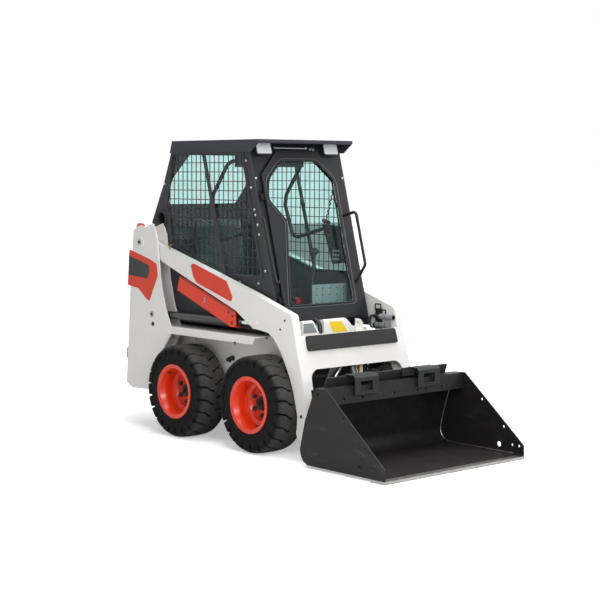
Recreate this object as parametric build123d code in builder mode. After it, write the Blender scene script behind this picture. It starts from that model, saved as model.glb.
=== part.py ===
# A compact skid steer loader with a dirt bucket, an enclosed cab and four chevron-lug tyres.
# Millimetres, +Z up, the ground at Z = 0. The machine faces -Y, so its right-hand side is at -X.

import os
from math import atan2, cos, hypot, radians, sin, sqrt

from build123d import *

os.makedirs("parts", exist_ok=True)

# ---------------------------------------------------------------- driving sizes
# lift arms
arm_half = 436
arm_width = 52
arm_inner = arm_half - arm_width
arm_wall = 8
arm_pivot = (1082, 1187)
arm_pin_radius = 22
arm_boss_radius = 62
running_gap = 0.3
seat_gap = 0.3

# wheels
wheelbase = 722
front_axle_y = -105
rear_axle_y = front_axle_y + wheelbase
tyre_radius = 286
tyre_width = 214
wheel_x = arm_half - 3
lug_height = 22
lugs_per_side = 22
rim_flange_radius = 168
rim_bead_radius = 152
rim_well_radius = 134
rim_wall = 8
hub_bore_radius = 42

# frame
ground_clearance = 150
chaincase_half = wheel_x - 136
chaincase_width = 95
chaincase_top = 430
side_wall = 8
fender_top = 673
fender_lip = 47
fender_front_y = -66
fender_rear_y = 757

# uprights that carry the lift arms
upright_half = arm_half + 16
upright_plate = 10
upright_inner_half = arm_inner - 8
arch_clearance = 41

# lift cylinders
lift_base_pin = (956, 736)
lift_rod_pin = (-50, 748)
lift_barrel_radius = 24
lift_barrel_length = 850
lift_rod_radius = 14
lift_rod_start = 106
rod_eye_width = 30
rod_eye_radius = 25
cylinder_pin_radius = 13

# bucket pivot and tilt cylinder
tilt_pivot = (-459, 154)
tilt_pin_radius = 16
tilt_base_pin = (-330, 650)
tilt_rod_pin = (-522, 267.7)
tilt_barrel_radius = 28
tilt_barrel_length = 268
tilt_rod_radius = 16
tilt_rod_start = 138

# bucket
bucket_half = 559
bucket_side = 8
bucket_sheet = 6
bucket_front_y = -1254
edge_plate = 16
edge_depth = 105

# cab
cab_half = arm_inner - 22
cab_sheet = 8
cab_bottom = 700
roof_half = cab_half + 16
roof_top = 1824
roof_skirt = 76
roof_sheet = 8
cab_front_low = (-176, 746)
cab_front_high = (95, roof_top - roof_skirt)
door_half = cab_half - 54
door_depth = 30

# rear: the tail door's outer face leans forward from its foot
rear_face_y = 1254
tail_bottom = 290
tail_top = 1120
tail_proud = 8
tail_depth = 30
tail_gap = 6
bumper_top = 236
bumper_half = 250


# ---------------------------------------------------------------- helpers
# A plate or block whose outline lies in the Y-Z plane, between two X values.
def side_profile(outline, x_from, x_to):
    with BuildPart() as block:
        with BuildSketch(Plane.YZ.offset(x_from)):
            with BuildLine():
                Polyline(*outline, close=True)
            make_face()
        extrude(amount=x_to - x_from)
    return block.part


# A round bar along X, centred on a point of the Y-Z plane.
def cross_bar(centre, radius, x_from, x_to):
    with BuildPart() as bar:
        with BuildSketch(Plane.YZ.offset(x_from)):
            with Locations(centre):
                Circle(radius)
        extrude(amount=x_to - x_from)
    return bar.part


# A box given by its low and high corners.
def block(low, high):
    with BuildPart() as solid:
        with Locations(tuple((a + b) / 2 for a, b in zip(low, high))):
            Box(*[b - a for a, b in zip(low, high)])
    return solid.part


# A box given by its middle and size.
def block_at(middle, size):
    with BuildPart() as solid:
        with Locations(middle):
            Box(*size)
    return solid.part


# An upright round post between two heights.
def round_post(centre, radius, z_from, z_to):
    with BuildPart() as post:
        with BuildSketch(Plane.XY.offset(z_from)):
            with Locations(centre):
                Circle(radius)
        extrude(amount=z_to - z_from)
    return post.part


# The strip between an open line of Y-Z points and the same line moved aside by a thickness.
def bent_sheet(line, thickness, x_from, x_to):
    with BuildPart() as sheet:
        with BuildSketch(Plane.YZ.offset(x_from)):
            with BuildLine() as path:
                Polyline(*line)
            trace(path.line, line_width=thickness)
        extrude(amount=x_to - x_from)
    return sheet.part


# The face inside a closed outline, grown outwards or inwards, with its corners rounded.
def rounded_face(outline, radius, grow=0):
    with BuildSketch() as face:
        with BuildLine():
            Polyline(*outline, close=True)
        make_face()
        if grow:
            offset(amount=grow, kind=Kind.INTERSECTION)
        fillet(face.vertices(), radius)
    return face.sketch


# A round tube or bar swept along a chain of points with rounded corners.
def bent_bar(points, radius, bend):
    with BuildPart() as bar:
        with BuildLine() as path:
            FilletPolyline(*points, radius=bend)
        start = path.line ^ 0
        with BuildSketch(Plane(origin=start.position, z_dir=start.z_axis.direction)):
            Circle(radius)
        sweep()
    return bar.part


def write(piece, name):
    piece.label = name
    export_step(piece, f"parts/{name}.step")
    print(name, flush=True)


def mirrored(piece):
    return mirror(piece, about=Plane.YZ)


# ---------------------------------------------------------------- wheels
# One wheel is drawn with its outer face towards -X and its axle at the origin.
half_width = tyre_width / 2
carcass_radius = tyre_radius - lug_height
shoulder = half_width - 6

# radius and distance from the wheel's middle plane, from bead to bead
carcass_outline = (
    (half_width - 12, rim_bead_radius + seat_gap),
    (half_width - 6, rim_flange_radius + 30),
    (shoulder, carcass_radius - 34),
    (half_width - 30, carcass_radius),
)

with BuildPart() as carcass:
    with BuildSketch(Plane.XY):
        with BuildLine():
            Polyline(
                *[(x, r) for x, r in carcass_outline],
                *[(-x, r) for x, r in reversed(carcass_outline)],
                (-(half_width - 26), rim_bead_radius + seat_gap),
                (-(half_width - 26), carcass_radius - 20),
                (half_width - 26, carcass_radius - 20),
                (half_width - 26, rim_bead_radius + seat_gap),
                close=True,
            )
        make_face()
    revolve(axis=Axis.X)

# a lug's plan: distance from the middle plane, distance round the tread
lug_plan = (
    (-5, -4),
    (30, 4),
    (58, 26),
    (half_width + 1, 30),
    (half_width + 1, 82),
    (58, 78),
    (34, 58),
    (-5, 48),
)
with BuildPart() as lug:
    with BuildSketch(Plane.XY.offset(carcass_radius - 45)):
        with BuildLine():
            Polyline(*lug_plan, close=True)
        make_face()
    extrude(amount=lug_height + 60)
    with BuildSketch(Plane.XZ):
        with BuildLine():
            Polyline(
                (-half_width, carcass_radius - 50),
                (half_width, carcass_radius - 50),
                (half_width, tyre_radius - 26),
                (half_width - 22, tyre_radius),
                (-half_width, tyre_radius),
                close=True,
            )
        make_face()
    revolve(axis=Axis.X, mode=Mode.INTERSECT)

lug_step = 360 / lugs_per_side
with BuildPart() as lug_mirrored:
    mirror(lug.part, about=Plane.YZ)

with BuildPart() as tyre_treaded:
    add(carcass.part)
    with Locations(*[Location((0, 0, 0), (k * lug_step, 0, 0)) for k in range(lugs_per_side)]):
        add(lug.part)
    with Locations(*[Location((0, 0, 0), ((k + 0.5) * lug_step, 0, 0)) for k in range(lugs_per_side)]):
        add(lug_mirrored.part)

# rim section from the outer flange to the inner one and back along the open side
dish_x = 3
rim_section = (
    (-half_width, rim_flange_radius),
    (-half_width + 8, rim_flange_radius),
    (-half_width + 12, rim_bead_radius),
    (-half_width + 50, rim_well_radius),
    (half_width - 50, rim_well_radius),
    (half_width - 12, rim_bead_radius),
    (half_width - 8, rim_flange_radius),
    (half_width, rim_flange_radius),
    (half_width - 4, rim_bead_radius - rim_wall),
    (half_width - 46, rim_well_radius - rim_wall),
    (dish_x + 22, rim_well_radius - rim_wall),
    (dish_x + 10, rim_well_radius - 40),
    (dish_x + 10, hub_bore_radius),
    (dish_x, hub_bore_radius),
    (dish_x, rim_well_radius - 44),
    (dish_x - 18, rim_well_radius - 32),
    (dish_x - 24, rim_well_radius - rim_wall),
    (-half_width + 46, rim_well_radius - rim_wall),
    (-half_width + 4, rim_bead_radius - rim_wall),
)
with BuildPart() as rim_right:
    with BuildSketch(Plane.XY):
        with BuildLine():
            Polyline(*rim_section, close=True)
        make_face()
    revolve(axis=Axis.X)

# name, side of the machine, axle
wheels = (
    ("fr", -1, front_axle_y),
    ("fl", 1, front_axle_y),
    ("rr", -1, rear_axle_y),
    ("rl", 1, rear_axle_y),
)
# the tread mirrors into itself half a lug step on, so both sides take the same tyre
tyre = mirrored(tyre_treaded.part)
rim_left = mirrored(rim_right.part)
for corner, side, axle_y in wheels:
    place = Location((side * wheel_x, axle_y, tyre_radius))
    rim = rim_right.part if side < 0 else rim_left
    write(place * tyre, f"tyre_{corner}")
    write(place * rim, f"rim_{corner}")

# axle stubs with their hub flanges, on the chaincases
hub_face_x = wheel_x - dish_x - 10
with BuildPart() as axle_hubs:
    for corner, side, axle_y in wheels:
        for radius, x_from, x_to in (
            (46, chaincase_half + side_wall, wheel_x - 30),
            (78, wheel_x - 30, hub_face_x - 0.3),
            (hub_bore_radius - 4, hub_face_x - 0.3, wheel_x + 12),
        ):
            add(cross_bar((axle_y, tyre_radius), radius, side * x_from, side * x_to))
write(axle_hubs.part, "axle_hubs")

# ---------------------------------------------------------------- frame
chain_front_y = front_axle_y - 100
chain_rear_y = rear_axle_y + 110
inner_half = chaincase_half - chaincase_width
floor_top = ground_clearance + side_wall
front_plate_y = chain_front_y - 25
front_plate_top = 684
bay_half = upright_inner_half - upright_plate
with BuildPart() as main_frame:
    for side in (-1, 1):
        inner = side * inner_half
        outer = side * chaincase_half
        add(block((min(inner, outer), chain_front_y, ground_clearance), (max(inner, outer), chain_rear_y, chaincase_top)))
    add(block((-inner_half, chain_front_y, ground_clearance), (inner_half, rear_face_y - 60, floor_top)))
    add(block((-chaincase_half, front_plate_y, ground_clearance), (chaincase_half, chain_front_y, front_plate_top)))
    # cross member and bumper that close the foot of the engine bay
    add(block((-bay_half, rear_face_y - 68, bumper_top), (bay_half, rear_face_y - 60, bumper_top + 40)))
    add(block((-inner_half, rear_face_y - 68, ground_clearance), (inner_half, rear_face_y - 60, bumper_top + 40)))
    bumper = ((1150, 160), (rear_face_y - 14, 160), (rear_face_y, 176), (rear_face_y, bumper_top), (1150, bumper_top))
    add(side_profile(bumper, -bumper_half, bumper_half))
write(main_frame.part, "main_frame")

# upright outline, from the rear foot round the top and down the front edge to the wheel arch
arch_radius = tyre_radius + arch_clearance
rear_edge = ((1243, 273), (1197, 847), (1155, 1263))
upright_line = (
    (1176, 241),
    *rear_edge,
    (1074, 1297),
    (1022, 1284),
    (943, 1307),
    (908, 1244),
    (888, 1119),
    (868, 952),
    (820, 787),
    (764, 673),
    (758, 626),
)
arch_start = (836, 529)
arch_end_z = 262
arch_end = (rear_axle_y + sqrt(arch_radius**2 - (arch_end_z - tyre_radius) ** 2), arch_end_z)
tie_down = (953, 672)
tie_down_radius = 14


def upright_plate_between(x_from, x_to):
    with BuildPart() as plate:
        with BuildSketch(Plane.YZ.offset(x_from)):
            with BuildLine():
                Polyline(arch_end, *upright_line, arch_start)
                middle = (
                    rear_axle_y + arch_radius * cos(radians(20)),
                    tyre_radius + arch_radius * sin(radians(20)),
                )
                ThreePointArc(arch_start, middle, arch_end)
            make_face()
            with Locations(tie_down):
                Circle(tie_down_radius, mode=Mode.SUBTRACT)
        extrude(amount=x_to - x_from)
    return plate.part


def shifted(points, dy, dz=0):
    return [(y + dy, z + dz) for y, z in points]


with BuildPart() as upright_r:
    add(upright_plate_between(-upright_half, -upright_half + upright_plate))
    add(upright_plate_between(-upright_inner_half, -upright_inner_half + upright_plate))
    web_from = -upright_half + upright_plate
    web_to = -upright_inner_half
    rear_web = list(rear_edge) + shifted(reversed(rear_edge), -side_wall)
    add(side_profile(rear_web, web_from, web_to))
    foot_web = ((960, 250), (1176, 241), (1243, 273), (1237, 280), (1174, 250), (960, 259))
    add(side_profile(foot_web, web_from, web_to))
    # fender with its outer lip and the side wall behind the wheels
    fender_low = (-upright_half, fender_front_y, fender_top - side_wall)
    add(block(fender_low, (-chaincase_half, fender_rear_y + 30, fender_top)))
    lip = (
        (fender_front_y, fender_top),
        (fender_rear_y + 10, fender_top),
        (fender_rear_y + 10, fender_top - fender_lip),
        (fender_front_y + 31, fender_top - fender_lip),
    )
    add(side_profile(lip, -upright_half, -upright_half + side_wall))
    wall = (
        (front_plate_y, 180),
        (front_plate_y, 560),
        (fender_front_y, fender_top),
        (960, fender_top),
        (960, 300),
        (chain_rear_y, 300),
        (chain_rear_y, 180),
    )
    add(side_profile(wall, -chaincase_half - side_wall, -chaincase_half))
    # pins of the arm and of the lift cylinder, with the arm pin's outer boss
    add(cross_bar(arm_pivot, arm_pin_radius * 1.8, -upright_half - 4, -upright_half + upright_plate))
    add(cross_bar(arm_pivot, arm_pin_radius, -upright_half - 4, -bay_half))
    add(cross_bar(lift_base_pin, cylinder_pin_radius, -upright_half - 4, -bay_half))
write(upright_r.part, "upright_r")
write(mirrored(upright_r.part), "upright_l")

# engine as one plain mass behind the cab, standing on the frame's floor
cab_rear_y = 960
cab_rear_knee = roof_top - 624
engine_block = block((-240, cab_rear_y + 15, floor_top), (240, 1150, cab_rear_knee - 100))
write(engine_block, "engine_block")

# ---------------------------------------------------------------- cab
front_lean = atan2(cab_front_high[0] - cab_front_low[0], cab_front_high[1] - cab_front_low[1])
front_out = (0, -cos(front_lean), sin(front_lean))


def front_y(z):
    return cab_front_low[0] + (z - cab_front_low[1]) * sin(front_lean) / cos(front_lean)


def up_front(z):
    return (z - cab_front_low[1]) / cos(front_lean)


front_plane = Plane(origin=(0, *cab_front_low), x_dir=(1, 0, 0), z_dir=front_out)
front_inner = cab_half - cab_sheet
roof_under = roof_top - roof_sheet
rear_line = (
    (842, roof_under),
    (950, roof_top - 269),
    (1077, roof_top - 513),
    (1013, roof_top - 583),
    (cab_rear_y, cab_rear_knee),
    (cab_rear_y, cab_bottom),
)
cab_outline = (
    (front_y(cab_bottom) + 10, cab_bottom),
    cab_front_low,
    cab_front_high,
    (front_y(roof_under) + 6, roof_under),
) + rear_line
window_top = roof_top - 86
window_outline = ((845, window_top), (164, window_top), (-15, 1022), (338, 1022), (860, 1180), (905, 1413))
duct_hole = (968, roof_top - 487)
duct_radius = 38

with BuildPart() as cab_side_r:
    with BuildSketch(Plane.YZ.offset(-cab_half)):
        with BuildLine():
            Polyline(*cab_outline, close=True)
        make_face()
        with BuildLine():
            Polyline(*window_outline, close=True)
        make_face(mode=Mode.SUBTRACT)
        with Locations(duct_hole):
            Circle(duct_radius, mode=Mode.SUBTRACT)
    extrude(amount=cab_sheet)
write(cab_side_r.part, "cab_side_r")
write(mirrored(cab_side_r.part), "cab_side_l")

# wire guard over the side window: a flat border, upright wires and level wires behind them
guard_pitch_y = 45
guard_pitch_z = 56
wire = 5
guard_depth = 7
guard_border = 14
wire_depth = 3.3
wire_overlap = 2
window_ys = [y for y, z in window_outline]
window_zs = [z for y, z in window_outline]
window_middle = ((min(window_ys) + max(window_ys)) / 2, (min(window_zs) + max(window_zs)) / 2)
window_length = max(window_ys) - min(window_ys)
window_height = max(window_zs) - min(window_zs)
# layer's outer X, bars' size, number of bars along Y and along Z
wire_layers = (
    (-cab_half - guard_depth, (wire, 2 * window_height), int(window_length / guard_pitch_y), 1),
    (-cab_half - wire_depth, (2 * window_length, wire), 1, int(window_height / guard_pitch_z)),
)
guard_post = ((545, window_top + 7), (517, window_top + 7), (311, 1012), (339, 1012))
with BuildPart() as side_guard_r:
    with BuildSketch(Plane.YZ.offset(-cab_half - guard_depth)):
        with BuildLine():
            Polyline(*window_outline, close=True)
        make_face()
        offset(amount=guard_border, kind=Kind.INTERSECTION)
        with BuildLine():
            Polyline(*window_outline, close=True)
        make_face(mode=Mode.SUBTRACT)
    extrude(amount=guard_depth)
    for layer_x, bar_size, along_y, along_z in wire_layers:
        with BuildSketch(Plane.YZ.offset(layer_x)):
            with Locations(window_middle):
                with GridLocations(guard_pitch_y, guard_pitch_z, along_y, along_z):
                    Rectangle(*bar_size)
            with BuildSketch(mode=Mode.INTERSECT):
                with BuildLine():
                    Polyline(*window_outline, close=True)
                make_face()
                offset(amount=wire_overlap, kind=Kind.INTERSECTION)
        extrude(amount=wire_depth)
    # the slanted post that crosses the window
    with BuildSketch(Plane.YZ.offset(-cab_half - guard_depth)):
        with BuildLine():
            Polyline(*guard_post, close=True)
        make_face()
    extrude(amount=guard_depth)
write(side_guard_r.part, "side_guard_r")
write(mirrored(side_guard_r.part), "side_guard_l")

# side glass against the inner face of the side wall
glass_thickness = 5
glass_lap = 12
with BuildPart() as side_glass:
    for side in (-1, 1):
        with BuildSketch(Plane.YZ.offset(side * front_inner)):
            with BuildLine():
                Polyline(*window_outline, close=True)
            make_face()
            offset(amount=glass_lap, kind=Kind.INTERSECTION)
        extrude(amount=-side * glass_thickness)
write(side_glass.part, "side_glass")

# rear wall of the cab with its big window and the small one low down
inner_cab = front_inner - glass_thickness
rear_window_half = cab_half - 52
rear_window_low = roof_top - 396
rear_window_high = roof_top - 85
rear_window_rise = rear_window_high - rear_window_low
# half width, height as a share of the window's rise
rear_window_half_outline = (
    (rear_window_half - 37, 0),
    (rear_window_half, 0.35),
    (rear_window_half - 10, 0.553),
    (rear_window_half - 96, 1),
)
right_half = [(-x, rear_window_low + share * rear_window_rise) for x, share in rear_window_half_outline]
rear_window = right_half + [(-x, z) for x, z in reversed(right_half)]
rear_window_corner = 24
low_window = (0, 1080)
with BuildPart() as cab_rear:
    wall_line = shifted(((842 + 2, roof_under - 4),) + rear_line[1:], -cab_sheet / 2)
    add(bent_sheet(wall_line, cab_sheet, -front_inner, front_inner))
    with BuildSketch(Plane.XZ.offset(-800)):
        add(rounded_face(rear_window, rear_window_corner))
        with Locations(low_window):
            RectangleRounded(150, 180, 16)
    extrude(amount=-300, mode=Mode.SUBTRACT)
write(cab_rear.part, "cab_rear")

# rear glass against the inside of the rear wall
rear_lean = atan2(rear_line[2][0] - rear_line[1][0], rear_line[1][1] - rear_line[2][1])
rear_glass_step = cab_sheet / 2 + (cab_sheet / 2 + glass_thickness / 2 + seat_gap) / cos(rear_lean)
with BuildPart() as rear_glass:
    glass_line = shifted((rear_line[0], rear_line[1], rear_line[2]), -rear_glass_step)
    add(bent_sheet(glass_line, glass_thickness, -inner_cab + 15, inner_cab - 15))
    with BuildSketch(Plane.XZ.offset(-780)):
        add(rounded_face(rear_window, rear_window_corner, glass_lap))
    extrude(amount=-300, mode=Mode.INTERSECT)
write(rear_glass.part, "rear_glass")

# front frame of the cab round the door
front_depth = 34
door_top = roof_top - 69
door_bottom = 756
door_shoulder = roof_top - 208
door_top_half = 165
door_gap = 4


def door_outline(grow):
    half = door_half + grow
    top_half = door_top_half + grow * 0.5
    low = up_front(door_bottom) - grow
    shoulder_up = up_front(door_shoulder) + grow * 0.5
    top = up_front(door_top) + grow
    return ((-half, low), (half, low), (half, shoulder_up), (top_half, top), (-top_half, top), (-half, shoulder_up))


# hinge lines, with local X away from the door, local Y outwards and local Z up the line
knuckle_radius = 9
knuckle_length = 34
hinge_pin_radius = 5
knuckle_stand = knuckle_radius + 1
door_proud = 12
door_hinge_x = -door_half - 6
door_hinge_at = front_plane.from_local_coords(Vector(door_hinge_x, 0, door_proud + knuckle_stand))
door_hinge = Plane(origin=door_hinge_at, x_dir=(-1, 0, 0), z_dir=(0, sin(front_lean), cos(front_lean)))
door_knuckles = (up_front(900), up_front(door_shoulder - 116))
tail_lean = atan2(rear_edge[0][0] - rear_edge[1][0], rear_edge[1][1] - rear_edge[0][1])
tail_foot_y = rear_edge[0][0] + (tail_proud - (tail_bottom - rear_edge[0][1]) * sin(tail_lean)) / cos(tail_lean)
tail_plane = Plane(origin=(0, tail_foot_y, tail_bottom), x_dir=(-1, 0, 0), z_dir=(0, cos(tail_lean), sin(tail_lean)))
tail_length = (tail_top - tail_bottom) / cos(tail_lean)
tail_half = bay_half - tail_gap
tail_hinge_x = tail_half - 8
tail_hinge_at = tail_plane.from_local_coords(Vector(-tail_hinge_x, 0, knuckle_stand))
tail_hinge = Plane(origin=tail_hinge_at, x_dir=(1, 0, 0), z_dir=(0, -sin(tail_lean), cos(tail_lean)))
tail_knuckles = (230, 480)


# Bars along a hinge line over one height: a round one, and leaves given by two corners each.
def along_hinge(line, radius, low, high, leaves=()):
    with BuildPart() as bar:
        with BuildSketch(line.offset(low)):
            Circle(radius)
            for (x_a, y_a), (x_b, y_b) in leaves:
                with Locations(((x_a + x_b) / 2, (y_a + y_b) / 2)):
                    Rectangle(x_b - x_a, y_b - y_a)
        extrude(amount=high - low)
    return bar.part


# The turning half of a hinge: a bored knuckle with a leaf on the door's face.
def turning_knuckle(line, height):
    leaf = ((-30, -knuckle_stand - 2), (0, -4))
    with BuildPart() as knuckle:
        add(along_hinge(line, knuckle_radius, height, height + knuckle_length, (leaf,)))
        bore = along_hinge(line, hinge_pin_radius + running_gap, height - 1, height + knuckle_length + 1)
        add(bore, mode=Mode.SUBTRACT)
    return knuckle.part


# The fixed half: a knuckle below the turning one, its leaves, and the pin that stands in the bore.
def fixed_knuckle(line, height, leaves):
    with BuildPart() as fixed:
        top = height - running_gap
        add(along_hinge(line, knuckle_radius, top - knuckle_length, top, leaves))
        add(along_hinge(line, hinge_pin_radius, top - knuckle_length, height + knuckle_length - 4))
    return fixed.part


with BuildPart() as cab_front:
    with BuildSketch(front_plane):
        with BuildLine():
            Polyline(
                (-front_inner, 0),
                (front_inner, 0),
                (front_inner, up_front(roof_under) - 12),
                (-front_inner, up_front(roof_under) - 12),
                close=True,
            )
        make_face()
        with BuildLine():
            Polyline(*door_outline(door_gap), close=True)
        make_face(mode=Mode.SUBTRACT)
    extrude(amount=-front_depth)
    for height in door_knuckles:
        add(fixed_knuckle(door_hinge, height, (((0, -door_proud - knuckle_stand), (30, -4)),)))
write(cab_front.part, "cab_front")

# floor pan on its four rubber mounts, with the box that carries the seat
seat_box_top = 888
floor_sheet = 6
pan_top = cab_bottom + floor_sheet
with BuildPart() as cab_floor:
    add(block((-front_inner, -140, cab_bottom), (front_inner, cab_rear_y - cab_sheet, pan_top)))
    add(block((-inner_cab, 330, pan_top), (inner_cab, 338, seat_box_top)))
    add(block((-inner_cab, 330, seat_box_top - 8), (inner_cab, cab_rear_y - cab_sheet, seat_box_top)))
    for side in (-1, 1):
        for mount_y in (-30, 880):
            add(round_post((side * (chaincase_half + 26), mount_y), 22, fender_top, cab_bottom))
write(cab_floor.part, "cab_floor")

# ---------------------------------------------------------------- roof
roof_front = (-5, roof_top)
roof_rear = (838, roof_top)
skirt_bottom = roof_top - roof_skirt
roof_outline = (
    roof_front,
    roof_rear,
    (roof_rear[0] + 24, skirt_bottom),
    (72, skirt_bottom),
    (roof_front[0], roof_top - 18),
)
with BuildPart() as roof:
    add(side_profile(roof_outline, -roof_half, roof_half))
    inside = (
        (roof_front[0] + roof_sheet, roof_under),
        (roof_rear[0] + 8, roof_under),
        (roof_rear[0] + 30, skirt_bottom - 10),
        (60, skirt_bottom - 10),
        (roof_front[0] + roof_sheet, roof_top - 40),
    )
    add(side_profile(inside, -roof_half + roof_sheet, roof_half - roof_sheet), mode=Mode.SUBTRACT)
write(roof.part, "roof")

# two work lamps hung from the roof under the visor
lamp_outer = cab_half - 40
lamp_inner = lamp_outer - 104
lamp_bottom = roof_top - 91
lamp_depth = 24
with BuildPart() as work_lamps:
    for side in (-1, 1):
        lamp_profile = (
            (front_y(lamp_bottom) - lamp_depth, lamp_bottom),
            (front_y(roof_under) - lamp_depth, roof_under),
            (front_y(roof_under), roof_under),
            (front_y(lamp_bottom), lamp_bottom),
        )
        add(side_profile(shifted(lamp_profile, -seat_gap), side * lamp_inner, side * lamp_outer))
write(work_lamps.part, "work_lamps")

# ---------------------------------------------------------------- door
glass_half = door_half - 46
glass_low = up_front(door_bottom + 90)
glass_high = up_front(door_top - 58)
glass_corner = 34
glass_outline = (
    (-glass_half, glass_low),
    (glass_half - 7, glass_low),
    (glass_half, up_front(door_shoulder - 36)),
    (glass_half - 122, glass_high),
    (-glass_half + 122, glass_high),
    (-glass_half, up_front(door_shoulder - 29)),
    (-glass_half - 29, up_front(door_shoulder - 150)),
    (-glass_half + 86, up_front(door_shoulder - 273)),
)
grab_low = up_front(958)
grab_high = up_front(door_shoulder - 251)
grab_out = 112
grab_x = door_half - 12
with BuildPart() as door_frame:
    with BuildSketch(front_plane.offset(door_proud)):
        with BuildLine():
            Polyline(*door_outline(0), close=True)
        make_face()
        add(rounded_face(glass_outline, glass_corner), mode=Mode.SUBTRACT)
    extrude(amount=-door_depth)
    grab_corners = (
        (grab_x, grab_high, door_proud - 4),
        (grab_x + 6, grab_high, grab_out),
        (grab_x + 6, grab_low + 90, grab_out),
        (grab_x, grab_low, door_proud - 4),
    )
    add(bent_bar([front_plane.from_local_coords(Vector(*corner)) for corner in grab_corners], 9, 26))
    for height in door_knuckles:
        add(turning_knuckle(door_hinge, height))
write(door_frame.part, "door_frame")

with BuildPart() as door_glass:
    with BuildSketch(front_plane.offset(-2)):
        add(rounded_face(glass_outline, glass_corner, -seat_gap))
    extrude(amount=glass_thickness)
write(door_glass.part, "door_glass")

# ---------------------------------------------------------------- inside the cab
seat_half = 215
with BuildPart() as seat:
    cushion = ((380, seat_box_top), (800, seat_box_top), (800, 930), (760, 965), (420, 975), (378, 950))
    back = ((770, 940), (808, 915), (880, 1330), (865, 1360), (830, 1360), (745, 985))
    add(side_profile(cushion, -seat_half, seat_half))
    add(side_profile(back, -seat_half + 10, seat_half - 10))
write(seat.part, "seat")

# seat bar: hung from the roof, its two arms come down beside the shoulders and forward over the lap
bar_half = inner_cab - 53
bar_bend_low = 1232
bar_top = roof_top - 124
bar_rise = bar_top - bar_bend_low
bar_arm = (
    (169, 1282),
    (413, 1221),
    (463, bar_bend_low),
    (537, bar_bend_low + 0.41 * bar_rise),
    (525, bar_bend_low + 0.55 * bar_rise),
    (365, bar_top),
)
bar_radius = 12
hanger_x = 150
hanger_sheet = 8
hanger = ((340, roof_under), (390, roof_under), (383, bar_top - 20), (347, bar_top - 20))
with BuildPart() as seat_bar:
    points = [(-bar_half, y, z) for y, z in bar_arm] + [(bar_half, y, z) for y, z in reversed(bar_arm)]
    add(bent_bar(points, bar_radius, 50))
    for side in (-1, 1):
        add(side_profile(hanger, side * hanger_x, side * (hanger_x + hanger_sheet)))
write(seat_bar.part, "seat_bar")

lever_half = 240
with BuildPart() as control_levers:
    for side in (-1, 1):
        add(block_at((side * 215, 195, pan_top + 15), (60, 90, 30)))
        add(bent_bar([(side * 215, 195, pan_top + 20), (side * 215, 195, 850), (side * lever_half, 190, 1130)], 9, 60))
        with Locations((side * lever_half, 190, 1140)):
            Sphere(24)
write(control_levers.part, "control_levers")

# instrument panel beside the left front pillar, on two brackets from the front frame
panel_outline = ((204, 1310), (37, 1298), (12, 1074), (107, 1062))
panel_outer = inner_cab - 6
panel_depth = 31
frame_back = front_depth / cos(front_lean)
with BuildPart() as instrument_panel:
    add(side_profile(panel_outline, panel_outer - panel_depth, panel_outer))
    for low in (1110, 1240):
        high = low + 26
        bracket = ((front_y(low) + frame_back, low), (front_y(high) + frame_back, high), (48, high), (48, low))
        add(side_profile(bracket, panel_outer - 18, panel_outer - 10))
write(instrument_panel.part, "instrument_panel")

# ribbed plate in the footwell
foot_panel_inner = 50
foot_panel_outer = inner_cab - 19
ribs = 5
rib_pitch = (foot_panel_outer - foot_panel_inner) / ribs
with BuildPart() as foot_panel:
    add(block((foot_panel_inner, -5, pan_top), (foot_panel_outer, 3, 950)))
    for rib in range(ribs):
        rib_x = foot_panel_inner + (rib + 0.36) * rib_pitch
        add(block((rib_x, -11, pan_top + 14), (rib_x + 12, -5, 940)))
write(foot_panel.part, "foot_panel")

# covers under the door: a tray with two raised boxes that slope down towards the cab, and a bracket
cover_front = -300
cover_rear = -228
cover_base = front_plate_top + 6
cover_half = 289
# front outlines in X and Z: right-hand cover, middle cover with its sloping end
cover_fronts = (
    ((-cover_half, cover_base), (-cover_half, 780), (-212, 780), (-156, cover_base)),
    ((-122, cover_base), (-122, 780), (45, 780), (140, cover_base)),
)
cover_section = (
    (cover_front, cover_base - 2),
    (cover_front, 762),
    (cover_front + 12, 773),
    (cover_rear, 762),
    (cover_rear, cover_base - 2),
)
with BuildPart() as front_cover:
    with BuildSketch(Plane.XZ.offset(-cover_rear)):
        for front in cover_fronts:
            with BuildLine():
                Polyline(*front, close=True)
            make_face()
    extrude(amount=cover_rear - cover_front)
    add(side_profile(cover_section, -cover_half, cover_half), mode=Mode.INTERSECT)
    add(block((-cover_half, cover_front, front_plate_top), (250, chain_front_y, cover_base)))
    with BuildSketch(Plane.XZ.offset(236)):
        with BuildLine():
            Polyline((186, cover_base - 2), (248, cover_base - 2), (248, 726), (226, 750), (186, 758), close=True)
        make_face()
        with Locations((207, 734)):
            Circle(7, mode=Mode.SUBTRACT)
    extrude(amount=8)
write(front_cover.part, "front_cover")

# ---------------------------------------------------------------- engine bay
with BuildPart() as engine_cover:
    cover_line = ((1040, 1215), (1148, 1205), (1168, 1135))
    add(bent_sheet(cover_line, 6, -bay_half, bay_half))
write(engine_cover.part, "engine_cover")

louvre_pitch = 42
louvres = 8
with BuildPart() as tailgate:
    with BuildSketch(tail_plane):
        with Locations((0, tail_length / 2)):
            RectangleRounded(2 * tail_half, tail_length, 14)
    extrude(amount=-tail_depth)
    with BuildSketch(tail_plane):
        with Locations((0, tail_length - 250)):
            with GridLocations(1, louvre_pitch, 1, louvres):
                RectangleRounded(2 * tail_half - 220, louvre_pitch - 14, 8)
    extrude(amount=-20, mode=Mode.SUBTRACT)
    # latch recess on the free edge
    with BuildSketch(tail_plane):
        with Locations((tail_half - 70, tail_length / 2 - 60)):
            RectangleRounded(80, 120, 12)
    extrude(amount=-14, mode=Mode.SUBTRACT)
    for height in tail_knuckles:
        add(turning_knuckle(tail_hinge, height))
write(tailgate.part, "tailgate")

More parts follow.
